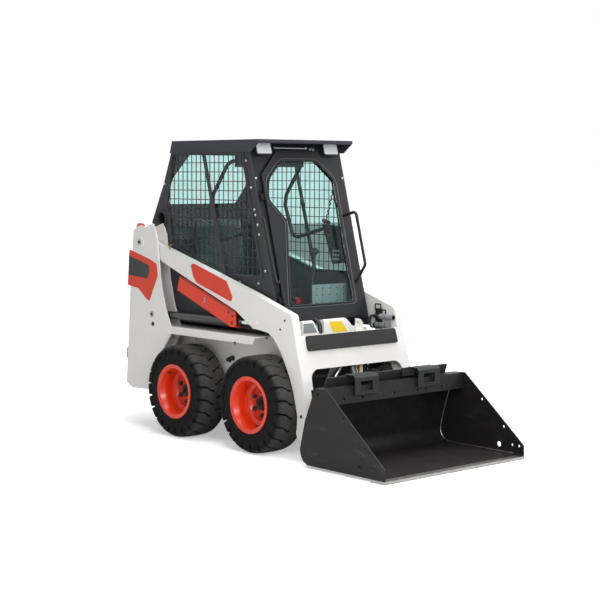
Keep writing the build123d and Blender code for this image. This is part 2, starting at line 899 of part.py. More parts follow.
tail_leaves = (((0, -knuckle_stand + 2), (48, 2)), ((16, -knuckle_stand - tail_proud), (48, -knuckle_stand + 3)))
with BuildPart() as tail_hinges:
    for height in tail_knuckles:
        add(fixed_knuckle(tail_hinge, height, tail_leaves))
write(tail_hinges.part, "tail_hinges")


def rear_edge_y(z):
    for (y_a, z_a), (y_b, z_b) in zip(rear_edge, rear_edge[1:]):
        if z_a <= z <= z_b:
            return y_a + (y_b - y_a) * (z - z_a) / (z_b - z_a)
    return rear_edge[-1][0]


# upper and lower tail lamp of each upright, flat on its rear web
lamp_width = 26
lamp_thick = 14
with BuildPart() as tail_lamps:
    for side in (-1, 1):
        for low, high in ((1050, 1120), (430, 500)):
            edge = [(rear_edge_y(z), z) for z in (low, high)]
            outer_x = side * (upright_half - 2)
            add(side_profile(edge + shifted(reversed(edge), lamp_thick), outer_x - side * lamp_width, outer_x))
write(tail_lamps.part, "tail_lamps")

# ---------------------------------------------------------------- lift arms
arm_front = ((-373, 807), (-409, 645), (-443, 528), (-467, 451), (-484, 372), (-500, 280), (-504, 160))
arm_rear_leg = ((-415, 160), (-420, 250), (-388, 376), (-357, 456), (-318, 530), (-270, 610), (-215, 672), (-163, 705))
arm_under = ((-80, 716), (-28, 719), (20, 745), (131, 812), (638, 989), (908, 1087), (1030, 1140))
arm_top = ((1040, 1235), (960, 1190), (547, 1081), (-27, 926), (-362, 822))
ear_inner = arm_inner - 18
ear_plate = 12
eye_slot = ((-110, 650), (-110, 840), (-40, 862), (160, 872), (300, 830), (300, 650))
with BuildPart() as arm_r:
    with BuildSketch(Plane.YZ.offset(-arm_half)):
        with BuildLine():
            Polyline(*arm_front, *arm_rear_leg, *arm_under, *arm_top, close=True)
        make_face()
        with Locations(arm_pivot):
            Circle(arm_boss_radius)
        with Locations(tilt_pivot):
            Circle(3 * tilt_pin_radius)
        with Locations(arm_pivot):
            Circle(arm_pin_radius + running_gap, mode=Mode.SUBTRACT)
    extrude(amount=arm_width)
    # the lift rod's eye runs between the arm's two plates
    with BuildSketch(Plane.YZ.offset(-arm_half + arm_wall)):
        with BuildLine():
            Polyline(*eye_slot, close=True)
        make_face()
    extrude(amount=arm_width - 2 * arm_wall, mode=Mode.SUBTRACT)
    # outer cap over the rod pin, and the bucket pin with its head
    add(cross_bar(lift_rod_pin, 20, -arm_half - 3, -arm_half))
    add(cross_bar(tilt_pivot, tilt_pin_radius, -arm_half - 4, -ear_inner + ear_plate + 4))
write(arm_r.part, "arm_r")
write(mirrored(arm_r.part), "arm_l")

# the plate across the front of both arms, with its arched opening
cross_top = 700
opening_top = 511
opening_half = arm_inner - 18
opening_corner = 62
plate_thick = 10
box_inner = 46
box_low = 560
box_high = 665


def on_front_edge(z):
    for (y_a, z_a), (y_b, z_b) in zip(arm_front, arm_front[1:]):
        if z_a >= z >= z_b:
            return y_a + (y_b - y_a) * (z_a - z) / (z_a - z_b)
    return arm_front[0][0]


fascia_zs = (cross_top, 645, 528, 451, 400)
tilt_eye_half = 20
tilt_lug = 10
with BuildPart() as arm_crossmember:
    front_edge = [(on_front_edge(z), z) for z in fascia_zs]
    add(side_profile(front_edge + shifted(reversed(front_edge), plate_thick), -arm_inner, arm_inner))
    with BuildSketch(Plane.XZ.offset(330)):
        with Locations((0, (opening_top + 300) / 2)):
            RectangleRounded(2 * opening_half, opening_top - 300, opening_corner)
        with Locations((0, 340)):
            Rectangle(2 * opening_half, 200)
    extrude(amount=200, mode=Mode.SUBTRACT)
    for side in (-1, 1):
        # box section behind the plate, from the tilt cylinder's place to the arm
        box_section = (
            (on_front_edge(box_high) + plate_thick, box_high),
            (-345, box_high),
            (-335, box_low),
            (on_front_edge(box_low) + plate_thick, box_low),
        )
        add(side_profile(box_section, side * box_inner, side * arm_inner))
        # lug that carries the tilt cylinder's pin
        lug_x = side * (tilt_eye_half + 4)
        lug_outline = ((on_front_edge(692) + plate_thick, 692), (-322, 674), (-350, 655), (on_front_edge(655) + plate_thick, 655))
        add(side_profile(lug_outline, lug_x, lug_x + side * tilt_lug))
        add(cross_bar(tilt_base_pin, 25, lug_x, lug_x + side * tilt_lug))
    add(cross_bar(tilt_base_pin, cylinder_pin_radius, -tilt_eye_half - 4 - tilt_lug, tilt_eye_half + 4 + tilt_lug))
write(arm_crossmember.part, "arm_crossmember")

pad_low = 613
pad_high = 700
with BuildPart() as step_pad:
    pad = (
        (on_front_edge(pad_low) - 14, pad_low + 6),
        (on_front_edge(pad_high) - 10, pad_high),
        (on_front_edge(pad_high), pad_high),
        (on_front_edge(645), 645),
        (on_front_edge(pad_low), pad_low),
    )
    add(side_profile(pad, -arm_inner, arm_inner))
    with BuildSketch(Plane.XZ.offset(330)):
        with Locations((0, (pad_low + pad_high) / 2)):
            RectangleRounded(2 * arm_inner - 52, pad_high - pad_low + 2, 18)
    extrude(amount=200, mode=Mode.INTERSECT)
write(step_pad.part, "step_pad")

# lift arm support: a channel stowed under the right arm, open towards the cylinder below it
support_half = arm_half + 10
support_sheet = 5
support_line = ((672, 991), (134, 809))
support_lower = ((168, 714), (698, 903))
support_web = ((672, 991), (320, 872))
with BuildPart() as arm_support:
    outline = (*support_line, *support_lower)
    add(side_profile(outline, -support_half, -support_half + support_sheet))
    add(side_profile(outline, -arm_inner + 3 - support_sheet, -arm_inner + 3))
    # the channel's web ends short of the front, so the raised lift rod passes under it
    web = support_web + tuple(shifted(reversed(support_web), 2, -support_sheet))
    add(side_profile(web, -support_half, -arm_inner + 3))
    # straps that hold it to the arm's outer face: rear lug, middle clip, front lug
    for strap_y, strap_z in ((640, 985), (400, 902), (165, 820)):
        strap = ((strap_y - 16, strap_z - 40), (strap_y + 16, strap_z - 30), (strap_y + 16, strap_z + 34), (strap_y - 16, strap_z + 24))
        add(side_profile(strap, -arm_half - support_sheet, -arm_half))
write(arm_support.part, "arm_support")

# hydraulic couplers on the inner face of the left arm, with their guard of bent bar
aux_x = arm_inner - 20
aux_plate = 6
guard_bar = 4
# height, front end, radius
aux_couplings = (
    (760, -385, 13),
    (708, -350, 15),
)
with BuildPart() as aux_couplers:
    add(block((arm_inner - aux_plate, -270, 684), (arm_inner, -214, 806)))
    for height, front, radius in aux_couplings:
        with BuildSketch(Plane.XZ.offset(222)):
            with Locations((aux_x, height)):
                Circle(radius)
        extrude(amount=-222 - front)
    # a loop above the couplers, a smaller one before it, and the hose that leaves behind
    plate_x = arm_inner - aux_plate + 1
    guard_high = [(plate_x, -228, 796), (aux_x, -228, 800), (aux_x, -228, 834), (aux_x, -276, 834), (aux_x, -276, 770)]
    guard_low = [(aux_x, -276, 786), (aux_x, -276, 800), (aux_x, -318, 800), (aux_x, -318, 768)]
    add(bent_bar(guard_high, guard_bar, 8))
    add(bent_bar(guard_low, guard_bar, 6))
    hose = [(aux_x, -230, 760), (aux_x, -184, 760), (aux_x, -184, 690), (aux_x, -228, 690), (aux_x, -240, 704)]
    add(bent_bar(hose, 6, 16))
write(aux_couplers.part, "aux_couplers")

# hoses that loop below the crossmember's boxes, both ends held at the box
hose_radius = 9
# distance from the middle of the inner end, the outer end, and how far down the loop reaches
hose_loops = (
    (70, 230, 478),
    (104, 300, 456),
)
hose_y = -350
with BuildPart() as arm_hoses:
    for side in (-1, 1):
        for step, (x_inner, x_outer, z_low) in enumerate(hose_loops):
            y = hose_y - step * 2.5 * hose_radius
            loop = [(x_inner, box_low), (x_inner, z_low), (x_outer, z_low), (x_outer, box_low)]
            add(bent_bar([(side * x, y, z) for x, z in loop], hose_radius, 48))
write(arm_hoses.part, "arm_hoses")

# ---------------------------------------------------------------- cylinders
# A cylinder runs from its base pin towards its rod pin; both pieces lie on that line.
def cylinder_line(base_pin, rod_pin, x):
    reach = hypot(rod_pin[0] - base_pin[0], rod_pin[1] - base_pin[1])
    along = (0, (rod_pin[0] - base_pin[0]) / reach, (rod_pin[1] - base_pin[1]) / reach)
    return Plane(origin=(x, *base_pin), x_dir=(1, 0, 0), z_dir=along), reach


def barrel(base_pin, rod_pin, x, radius, length, rod_radius, eye_width):
    line, reach = cylinder_line(base_pin, rod_pin, x)
    with BuildPart() as tube:
        with BuildSketch(line.offset(26)):
            Circle(radius)
        extrude(amount=length - 26)
        with BuildSketch(line.offset(60)):
            Circle(rod_radius + running_gap)
        extrude(amount=length, mode=Mode.SUBTRACT)
        add(cross_bar(base_pin, radius + 4, x - eye_width / 2, x + eye_width / 2))
        bore = cross_bar(base_pin, cylinder_pin_radius + running_gap, x - eye_width, x + eye_width)
        add(bore, mode=Mode.SUBTRACT)
    return tube.part


def rod(base_pin, rod_pin, x, radius, start, eye_radius, eye_width):
    line, reach = cylinder_line(base_pin, rod_pin, x)
    with BuildPart() as bar:
        with BuildSketch(line.offset(start)):
            Circle(radius)
        extrude(amount=reach - start)
        add(cross_bar(rod_pin, eye_radius, x - eye_width / 2, x + eye_width / 2))
    return bar.part


lift_x = arm_half - arm_width / 2
lift_pins = (lift_base_pin, lift_rod_pin)
for side, name in ((-1, "r"), (1, "l")):
    tube = barrel(*lift_pins, side * lift_x, lift_barrel_radius, lift_barrel_length, lift_rod_radius, 44)
    write(tube, f"lift_barrel_{name}")
    bar = rod(*lift_pins, side * lift_x, lift_rod_radius, lift_rod_start, rod_eye_radius, rod_eye_width)
    write(bar, f"lift_rod_{name}")
tilt_pins = (tilt_base_pin, tilt_rod_pin)
tilt_eye = 2 * tilt_eye_half
write(barrel(*tilt_pins, 0, tilt_barrel_radius, tilt_barrel_length, tilt_rod_radius, tilt_eye), "tilt_barrel")
write(rod(*tilt_pins, 0, tilt_rod_radius, tilt_rod_start, 24, tilt_eye), "tilt_rod")

# ---------------------------------------------------------------- bucket
bucket_outline = (
    (-1253, edge_plate),
    (-1252, 79),
    (-795, 455),
    (-705, 451),
    (-624, 262),
    (-582, 99),
    (-590, 62),
    (-610, 33),
    (-645, edge_plate),
)
# hole's place in the side plate, radius
side_holes = (
    ((-1068, 63), 16),
    ((-1168, 72), 8),
    ((-1219, 71), 8),
    ((-1102, 170), 8),
    ((-933, 310), 8),
    ((-730, 420), 8),
)
band_hole_xs = (-410, -271, -21, 164, 233, 370)
bucket_inner = bucket_half - bucket_side
floor_middle = edge_plate + bucket_sheet / 2
bucket_back = ((-594, 107), (-661, 317), (-706, 447))
with BuildPart() as bucket_shell:
    for side in (-1, 1):
        with BuildSketch(Plane.YZ.offset(side * bucket_inner)):
            with BuildLine():
                Polyline(*bucket_outline, close=True)
            make_face()
            for place, radius in side_holes:
                with Locations(place):
                    Circle(radius, mode=Mode.SUBTRACT)
        extrude(amount=side * bucket_side)
    with BuildSketch(Plane.YZ.offset(-bucket_inner)):
        with BuildLine() as section:
            floor_line = Line((-1200, floor_middle), (-668, floor_middle))
            ThreePointArc(floor_line @ 1, (-612, 48), bucket_back[0])
            Polyline(*bucket_back)
        trace(section.line, line_width=bucket_sheet)
    extrude(amount=2 * bucket_inner)
    band = ((-706, 441), (-706, 452), (-775, 450), (-787, 360), (-779, 360), (-768, 441))
    add(side_profile(band, -bucket_inner, bucket_inner))
    with BuildSketch(Plane.XZ.offset(760)):
        for hole_x in band_hole_xs:
            with Locations((hole_x, 386)):
                Circle(7)
    extrude(amount=60, mode=Mode.SUBTRACT)
write(bucket_shell.part, "bucket_shell")

cutting_edge = block((-bucket_half, bucket_front_y, 0), (bucket_half, bucket_front_y + edge_depth, edge_plate))
write(cutting_edge, "cutting_edge")

# quick coupler behind the bucket, hung on the arms' pins
coupler_sheet = 10
coupler_step = bucket_sheet / 2 + coupler_sheet / 2 + 0.9
coupler_top = 504
coupler_half = ear_inner + 116
with BuildPart() as coupler:
    back_slope = (bucket_back[2][0] - bucket_back[1][0]) / (bucket_back[2][1] - bucket_back[1][1])
    top_y = bucket_back[2][0] + back_slope * (coupler_top - bucket_back[2][1])
    face_line = shifted((*bucket_back[:2], (top_y, coupler_top)), coupler_step)
    add(bent_sheet(face_line, coupler_sheet, -coupler_half, coupler_half))
    for side in (-1, 1):
        ear = ((-470, 112), (-430, 130), (-425, 180), (-455, 205), (-600, 330), (-650, 330), (-590, 112))
        add(side_profile(ear, side * ear_inner, side * (ear_inner - ear_plate)))
        bore = cross_bar(tilt_pivot, tilt_pin_radius + running_gap, side * (ear_inner + 1), side * (ear_inner - ear_plate - 1))
        add(bore, mode=Mode.SUBTRACT)
        lug = ((-505, 262), (-522, 300), (-560, 330), (-650, 330), (-600, 150), (-560, 150), (-508, 240))
        add(side_profile(lug, side * 24, side * 36))
write(coupler.part, "coupler")

with BuildPart() as coupler_levers:
    lever_front = -783
    lever_inner = 160
    lever_outer = 340
    lever_middle = (lever_inner + lever_outer) / 2
    lever_outline = (
        (-712, coupler_top + 2),
        (-712, coupler_top + 8),
        (lever_front, coupler_top + 8),
        (lever_front - 14, coupler_top - 6),
        (lever_front - 14, 400),
        (lever_front - 6, 400),
        (lever_front - 6, coupler_top - 8),
        (lever_front + 5, coupler_top + 2),
    )
    for side in (-1, 1):
        add(side_profile(lever_outline, side * lever_inner, side * lever_outer))
        # wing beside the lever, in front of the coupler's face
        wing = ((-724, coupler_top - 42), (-724, coupler_top + 8), (-732, coupler_top + 8), (-732, coupler_top - 42))
        add(side_profile(wing, side * (lever_inner - 66), side * (lever_inner + 30)))
    with BuildSketch(Plane.XZ.offset(-lever_front - 2)):
        with Locations((-lever_middle, 448), (lever_middle, 448)):
            Rectangle(92, 54)
    extrude(amount=40, mode=Mode.SUBTRACT)
write(coupler_levers.part, "coupler_levers")
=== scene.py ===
from math import atan2, cos, hypot, pi, radians, sin

import bpy
from mathutils import Matrix, Vector


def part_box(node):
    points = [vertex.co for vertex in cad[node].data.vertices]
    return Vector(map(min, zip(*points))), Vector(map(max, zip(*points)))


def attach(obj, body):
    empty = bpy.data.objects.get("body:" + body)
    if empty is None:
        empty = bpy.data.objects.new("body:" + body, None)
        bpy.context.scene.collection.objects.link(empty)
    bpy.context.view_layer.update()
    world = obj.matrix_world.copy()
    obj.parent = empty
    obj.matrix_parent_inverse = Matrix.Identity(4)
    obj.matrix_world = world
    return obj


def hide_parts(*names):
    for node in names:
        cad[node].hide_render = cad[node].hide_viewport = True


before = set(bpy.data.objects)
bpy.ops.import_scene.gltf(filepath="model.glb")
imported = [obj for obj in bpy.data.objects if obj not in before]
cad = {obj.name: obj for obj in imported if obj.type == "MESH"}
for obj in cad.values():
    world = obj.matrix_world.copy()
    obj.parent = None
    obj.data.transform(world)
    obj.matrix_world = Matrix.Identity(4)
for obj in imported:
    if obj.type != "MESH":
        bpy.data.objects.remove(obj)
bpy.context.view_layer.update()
print("frame loaded:", len(cad), "nodes")


# node and colour helpers
def linear(hexCode, alpha=1.0):
    parts = [int(hexCode[i : i + 2], 16) / 255 for i in (0, 2, 4)]
    return [c / 12.92 if c <= 0.04045 else ((c + 0.055) / 1.055) ** 2.4 for c in parts] + [alpha]


def addNode(tree, kind, settings=None, links=None, **options):
    node = tree.nodes.new("ShaderNode" + kind)
    for key, value in options.items():
        setattr(node, key, value)
    for key, value in (settings or {}).items():
        node.inputs[key].default_value = value
    for key, source in (links or {}).items():  # a node stands for its first output
        tree.links.new(source.outputs[0] if isinstance(source, bpy.types.Node) else source, node.inputs[key])
    return node


def newMaterial(name):  # the material, its tree and its object coordinates
    material = bpy.data.materials.new(name)
    material.use_nodes = True
    tree = material.node_tree
    tree.nodes.clear()
    place = addNode(tree, "TexCoord")
    return material, tree, place.outputs["Object"]


def finished(material, settings, links):  # the material with its shader and output
    surface = addNode(material.node_tree, "BsdfPrincipled", settings, links)
    addNode(material.node_tree, "OutputMaterial", None, {"Surface": surface})
    return material


def rampColours(ramp, stops):  # stops: place along the ramp, colour
    elements = ramp.color_ramp.elements
    while len(elements) < len(stops):
        elements.new(0.5)
    for element, (place, colour) in zip(elements, stops):
        element.position = place
        element.color = colour


# coated metals: powder coat and enamel over steel, each a little uneven in tone with dust low on the machine
# grainMm is the size of the coat's orange peel, drawn coarser than the real 1 mm so that it shows
coatSettings = {
    "powderCoatWhite": {  # warm white, softly glossy
        "base": "edecea", "shade": "e3e2df", "dust": "c3beb2",
        "dustAmount": 0.25, "roughness": 0.34, "coat": 0.35, "grainMm": 3.0, "bump": 0.02,
    },
    "charcoalSidesPaintedLight": {  # blue-black grey of the cab, satin, made a little lighter for the sides as painted light
        "base": "393a40", "shade": "303136", "dust": "454440",
        "dustAmount": 0.18, "roughness": 0.5, "coat": 0.0, "specular": 0.3, "grainMm": 2.0, "bump": 0.05,
    },
    "charcoalFrontPaintedShade": {  # the cab's charcoal made nearly black for the front faces as painted shade, satin
        "base": "17181b", "shade": "131416", "dust": "3a3936",
        "dustAmount": 0.15, "roughness": 0.48, "coat": 0.0, "specular": 0.3, "grainMm": 2.0, "bump": 0.05,
    },
    "chassisEnamelBlack": {  # black frame enamel, dustier than the rest
        "base": "28292b", "shade": "1e1f20", "dust": "5b564d",
        "dustAmount": 0.3, "roughness": 0.5, "coat": 0.0, "specular": 0.3, "grainMm": 2.5, "bump": 0.06,
    },
    "wheelEnamelOrange": {  # bright orange-red, glossy
        "base": "e6360a", "shade": "d42e08", "dust": "a8583a",
        "dustAmount": 0.07, "roughness": 0.32, "coat": 0.3, "grainMm": 3.0, "bump": 0.02,
    },
    "cylinderEnamelBlack": {  # black, glossy and clean
        "base": "202123", "shade": "18191a", "dust": "3f3d3a",
        "dustAmount": 0.12, "roughness": 0.3, "coat": 0.4, "grainMm": 3.0, "bump": 0.02,
    },
    "boltZincBlack": {  # dark grey bolt heads
        "base": "3a3b3e", "shade": "2a2b2d", "dust": "55534f",
        "dustAmount": 0.2, "roughness": 0.42, "coat": 0.0, "grainMm": 1.5, "bump": 0.04,
    },
    "grabBarEnamel": {  # mid grey trim
        "base": "4a4c50", "shade": "404246", "dust": "64635f",
        "dustAmount": 0.12, "roughness": 0.4, "coat": 0.2, "grainMm": 2.0, "bump": 0.04,
    },
}


def coatedMetal(name):
    look = coatSettings[name]
    material, tree, spot = newMaterial(name)
    cloud = addNode(tree, "TexNoise", {"Scale": 2.2, "Detail": 4.0, "Roughness": 0.6}, {"Vector": spot})
    tone = addNode(
        tree, "MixRGB", {"Color1": linear(look["base"]), "Color2": linear(look["shade"])}, {"Fac": cloud}
    )
    height = addNode(tree, "SeparateXYZ", None, {"Vector": spot})
    low = addNode(
        tree, "MapRange", {"From Min": 0.1, "From Max": 0.75, "To Min": 1.0, "To Max": 0.0},
        {"Value": height.outputs["Z"]},
    )
    patches = addNode(tree, "TexNoise", {"Scale": 9.0, "Detail": 6.0, "Roughness": 0.7}, {"Vector": spot})
    patchy = addNode(tree, "MapRange", {"From Min": 0.45, "From Max": 0.75}, {"Value": patches})
    dusty = addNode(tree, "Math", None, {0: low, 1: patchy}, operation="MULTIPLY")
    dustMask = addNode(tree, "Math", {1: look["dustAmount"]}, {0: dusty}, operation="MULTIPLY")
    colour = addNode(tree, "MixRGB", {"Color2": linear(look["dust"])}, {"Fac": dustMask, "Color1": tone})
    rough = addNode(
        tree, "MapRange", {"To Min": look["roughness"] - 0.05, "To Max": look["roughness"] + 0.1},
        {"Value": patches},
    )
    peel = addNode(tree, "TexNoise", {"Scale": 1000 / look["grainMm"] / 2, "Detail": 2.0}, {"Vector": spot})
    bump = addNode(tree, "Bump", {"Strength": look["bump"], "Distance": 0.001}, {"Height": peel})
    return finished(
        material,
        {
            "IOR": 1.5, "Specular IOR Level": look.get("specular", 0.5), "Coat Weight": look["coat"],
            "Coat Roughness": 0.12,
        },
        {"Base Color": colour, "Roughness": rough, "Normal": bump},
    )


paints = {name: coatedMetal(name) for name in coatSettings}
print("paints made:", len(paints))


# other materials
# carbon-black rubber, moulded: black sidewall, lug tops greyed towards their outer radius, partly by dust and
# partly as painted light where they catch the light
def tyreRubber():
    material, tree, spot = newMaterial("tyreRubberMoulded")
    patches = addNode(tree, "TexNoise", {"Scale": 14.0, "Detail": 6.0, "Roughness": 0.65}, {"Vector": spot})
    ramp = addNode(tree, "ValToRGB", None, {"Fac": patches})
    rampColours(ramp, [(0.3, linear("0f0f10")), (0.75, linear("181818"))])
    # grey on the lug tops, part dust and part painted light
    tread = addNode(tree, "Attribute", attribute_name="treadDustAndLight")
    uneven = addNode(
        tree, "MapRange", {"From Min": 0.3, "From Max": 0.7, "To Min": 0.55, "To Max": 1.0},
        {"Value": patches},
    )
    dusty = addNode(tree, "Math", None, {0: tread.outputs["Fac"], 1: uneven}, operation="MULTIPLY")
    colour = addNode(tree, "MixRGB", {"Color2": linear("4b4a49")}, {"Fac": dusty, "Color1": ramp})
    grit = addNode(tree, "TexNoise", {"Scale": 420.0, "Detail": 3.0}, {"Vector": spot})  # 2.4 mm grit
    rough = addNode(tree, "MapRange", {"To Min": 0.62, "To Max": 0.82}, {"Value": patches})
    bump = addNode(tree, "Bump", {"Strength": 0.15, "Distance": 0.001}, {"Height": grit})
    return finished(
        material, {"IOR": 1.52, "Specular IOR Level": 0.12},
        {"Base Color": colour, "Roughness": rough, "Normal": bump},
    )


def bucketPaint():  # black enamel rubbed by soil: fine scratches, paler worn streaks low down
    material, tree, spot = newMaterial("bucketEnamelWorn")
    cloud = addNode(tree, "TexNoise", {"Scale": 6.0, "Detail": 7.0, "Roughness": 0.62}, {"Vector": spot})
    stretched = addNode(tree, "Mapping", {"Scale": (60.0, 4.0, 22.0)}, {"Vector": spot})
    streaks = addNode(
        tree, "TexNoise", {"Scale": 1.0, "Detail": 6.0, "Roughness": 0.7}, {"Vector": stretched}
    )
    tone = addNode(tree, "MixRGB", {"Color1": linear("181616"), "Color2": linear("232121")}, {"Fac": cloud})
    wear = addNode(
        tree, "MapRange", {"From Min": 0.56, "From Max": 0.76, "To Min": 0.0, "To Max": 0.22},
        {"Value": streaks},
    )
    colour = addNode(tree, "MixRGB", {"Color2": linear("6a6766")}, {"Fac": wear, "Color1": tone})
    rough = addNode(tree, "MapRange", {"To Min": 0.34, "To Max": 0.56}, {"Value": cloud})
    bump = addNode(tree, "Bump", {"Strength": 0.06, "Distance": 0.001}, {"Height": streaks})
    return finished(
        material, {"IOR": 1.5, "Specular IOR Level": 0.25},
        {"Base Color": colour, "Roughness": rough, "Normal": bump},
    )


def bareSteel(name, tint, dark, roughness, scratchMm):  # rolled or worn steel, scratched along one way
    material, tree, spot = newMaterial(name)
    stretched = addNode(
        tree, "Mapping", {"Scale": (12.0, 1000 / scratchMm / 2, 1000 / scratchMm / 2)}, {"Vector": spot}
    )
    scratches = addNode(
        tree, "TexNoise", {"Scale": 1.0, "Detail": 5.0, "Roughness": 0.6}, {"Vector": stretched}
    )
    patches = addNode(tree, "TexNoise", {"Scale": 25.0, "Detail": 5.0}, {"Vector": spot})
    tone = addNode(tree, "MixRGB", {"Color1": linear(tint), "Color2": linear(dark)}, {"Fac": patches})
    rough = addNode(
        tree, "MapRange", {"To Min": roughness - 0.08, "To Max": roughness + 0.12}, {"Value": scratches}
    )
    bump = addNode(tree, "Bump", {"Strength": 0.12, "Distance": 0.0006}, {"Height": scratches})
    return finished(material, {"Metallic": 1.0}, {"Base Color": tone, "Roughness": rough, "Normal": bump})


# toughened glass, green-blue through its thickness, with faint smears
def tintedGlass(name, tint, shadowTint):
    material, tree, spot = newMaterial(name)
    smear = addNode(tree, "TexNoise", {"Scale": 5.0, "Detail": 4.0}, {"Vector": spot})
    rough = addNode(
        tree, "MapRange", {"From Min": 0.4, "From Max": 0.8, "To Min": 0.0, "To Max": 0.03}, {"Value": smear}
    )
    pane = addNode(
        tree,
        "BsdfPrincipled",
        {
            "Base Color": linear(tint), "IOR": 1.5, "Transmission Weight": 1.0,
            "Specular Tint": linear("707070"),
        },
        {"Roughness": rough},
    )
    lamps = addNode(tree, "BsdfTransparent", {"Color": linear(shadowTint)})  # lets the lamps into the cab
    ray = addNode(tree, "LightPath")
    surface = addNode(tree, "MixShader", None, {0: ray.outputs["Is Shadow Ray"], 1: pane, 2: lamps})
    addNode(tree, "OutputMaterial", None, {"Surface": surface})
    return material


def mouldedPlastic(name, base, shade, roughness, grainMm):  # PP or ABS from a textured mould
    material, tree, spot = newMaterial(name)
    cloud = addNode(tree, "TexNoise", {"Scale": 8.0, "Detail": 4.0}, {"Vector": spot})
    tone = addNode(tree, "MixRGB", {"Color1": linear(base), "Color2": linear(shade)}, {"Fac": cloud})
    grain = addNode(tree, "TexVoronoi", {"Scale": 1000 / grainMm}, {"Vector": spot})
    rough = addNode(
        tree, "MapRange", {"To Min": roughness - 0.05, "To Max": roughness + 0.08}, {"Value": cloud}
    )
    bump = addNode(tree, "Bump", {"Strength": 0.15, "Distance": 0.0008}, {"Height": grain})
    return finished(material, {"IOR": 1.46}, {"Base Color": tone, "Roughness": rough, "Normal": bump})


def stepTread():  # anti-slip mat: coarse grit bonded to the pad
    material, tree, spot = newMaterial("antiSlipGrit")
    # 4.5 mm, coarser than the real 2 mm grit
    grit = addNode(tree, "TexVoronoi", {"Scale": 220.0}, {"Vector": spot})
    ramp = addNode(tree, "ValToRGB", None, {"Fac": grit})
    rampColours(ramp, [(0.1, linear("343434")), (0.6, linear("151515"))])
    bump = addNode(tree, "Bump", {"Strength": 0.6, "Distance": 0.0015}, {"Height": ramp})
    return finished(material, {"IOR": 1.5, "Roughness": 0.8}, {"Base Color": ramp, "Normal": bump})


def seatVinyl():  # vinyl-coated cloth with a pebbled grain
    material, tree, spot = newMaterial("seatVinylGrained")
    cloud = addNode(tree, "TexNoise", {"Scale": 12.0, "Detail": 3.0}, {"Vector": spot})
    tone = addNode(tree, "MixRGB", {"Color1": linear("232426"), "Color2": linear("2e2f31")}, {"Fac": cloud})
    # 3 mm pebbles
    pebble = addNode(tree, "TexVoronoi", {"Scale": 330.0}, {"Vector": spot}, feature="SMOOTH_F1")
    bump = addNode(tree, "Bump", {"Strength": 0.3, "Distance": 0.001}, {"Height": pebble})
    return finished(
        material, {"IOR": 1.5, "Roughness": 0.5, "Sheen Weight": 0.1}, {"Base Color": tone, "Normal": bump}
    )


def lensPlastic(name, tint, paintedGlint):  # clear or coloured polycarbonate, fluted inside, with no bowl behind it: the paler stripes are a painted reflection of a bright bowl
    material, tree, spot = newMaterial(name)
    flutes = addNode(tree, "TexWave", {"Scale": 40.0, "Distortion": 0.0}, {"Vector": spot})
    tone = addNode(
        tree, "MixRGB", {"Color1": linear(tint), "Color2": linear(paintedGlint)}, {"Fac": flutes.outputs["Fac"]}
    )
    bump = addNode(tree, "Bump", {"Strength": 0.2, "Distance": 0.001}, {"Height": flutes.outputs["Fac"]})
    return finished(
        material, {"IOR": 1.585, "Roughness": 0.12, "Coat Weight": 0.6, "Coat Roughness": 0.05},
        {"Base Color": tone, "Normal": bump},
    )


def vinylFilm(name, base, shade):  # printed self-adhesive film, smooth and slightly glossy
    material, tree, spot = newMaterial(name)
    cloud = addNode(tree, "TexNoise", {"Scale": 10.0, "Detail": 3.0}, {"Vector": spot})
    tone = addNode(tree, "MixRGB", {"Color1": linear(base), "Color2": linear(shade)}, {"Fac": cloud})
    rough = addNode(tree, "MapRange", {"To Min": 0.25, "To Max": 0.4}, {"Value": cloud})
    return finished(material, {"IOR": 1.5, "Coat Weight": 0.3}, {"Base Color": tone, "Roughness": rough})


rubber = tyreRubber()
bucketCoat = bucketPaint()
wornSteel = bareSteel("cuttingEdgeSteelWorn", "c9c8c6", "9c9a97", 0.34, 2.0)  # edge ground pale by soil
zincSteel = bareSteel("boltSteelZincPlated", "c4c6c8", "9fa1a3", 0.3, 3.0)  # bright bolt heads and stays
chromeSteel = bareSteel("rodSteelChromed", "e6e7e8", "d6d8da", 0.1, 4.0)  # near-mirror rods
brassFitting = bareSteel("fittingBrass", "c9a24f", "a07c36", 0.3, 3.0)  # dull yellow
glass = tintedGlass("cabGlassTinted", "dcf2f0", "eef8f7")  # pale green-blue
hoseRubber = mouldedPlastic("hoseRubberBraided", "1c1d1e", "262728", 0.55, 3.0)  # black, braided
blackPlastic = mouldedPlastic("plasticBlackMoulded", "202122", "2a2b2c", 0.5, 2.5)  # black, finely grained
greyPlastic = mouldedPlastic("plasticGreyMoulded", "8b8f90", "7a7e80", 0.5, 2.5)  # mid grey caps and covers, and the painted shade on the front cover
sealRubber = mouldedPlastic("sealRubberExtruded", "17181a", "222325", 0.6, 4.0)  # matt black seals and boots; also the black discs painted as shade in holes
stepMat = stepTread()
vinylSeat = seatVinyl()
lampLens = lensPlastic("lampLensClear", "c8cccf", "f2f4f5")  # silver grey with paler stripes: a painted reflection of a silver bowl behind clear plastic
tailLens = lensPlastic("tailLensRed", "9c1414", "c42020")  # deep red, with lighter red stripes as a painted glint
orangeFilm = vinylFilm("filmOrangeRed", "e2390e", "cf320c")  # orange-red decals
darkFilm = vinylFilm("filmBlack", "1b1c1e", "26272a")  # black decals
yellowFilm = vinylFilm("filmYellow", "f2d21a", "e9c816")  # warning yellow, bare
whiteFilm = vinylFilm("filmWhite", "e8e8e6", "dcdcda")  # off-white stripe
print("other materials made")


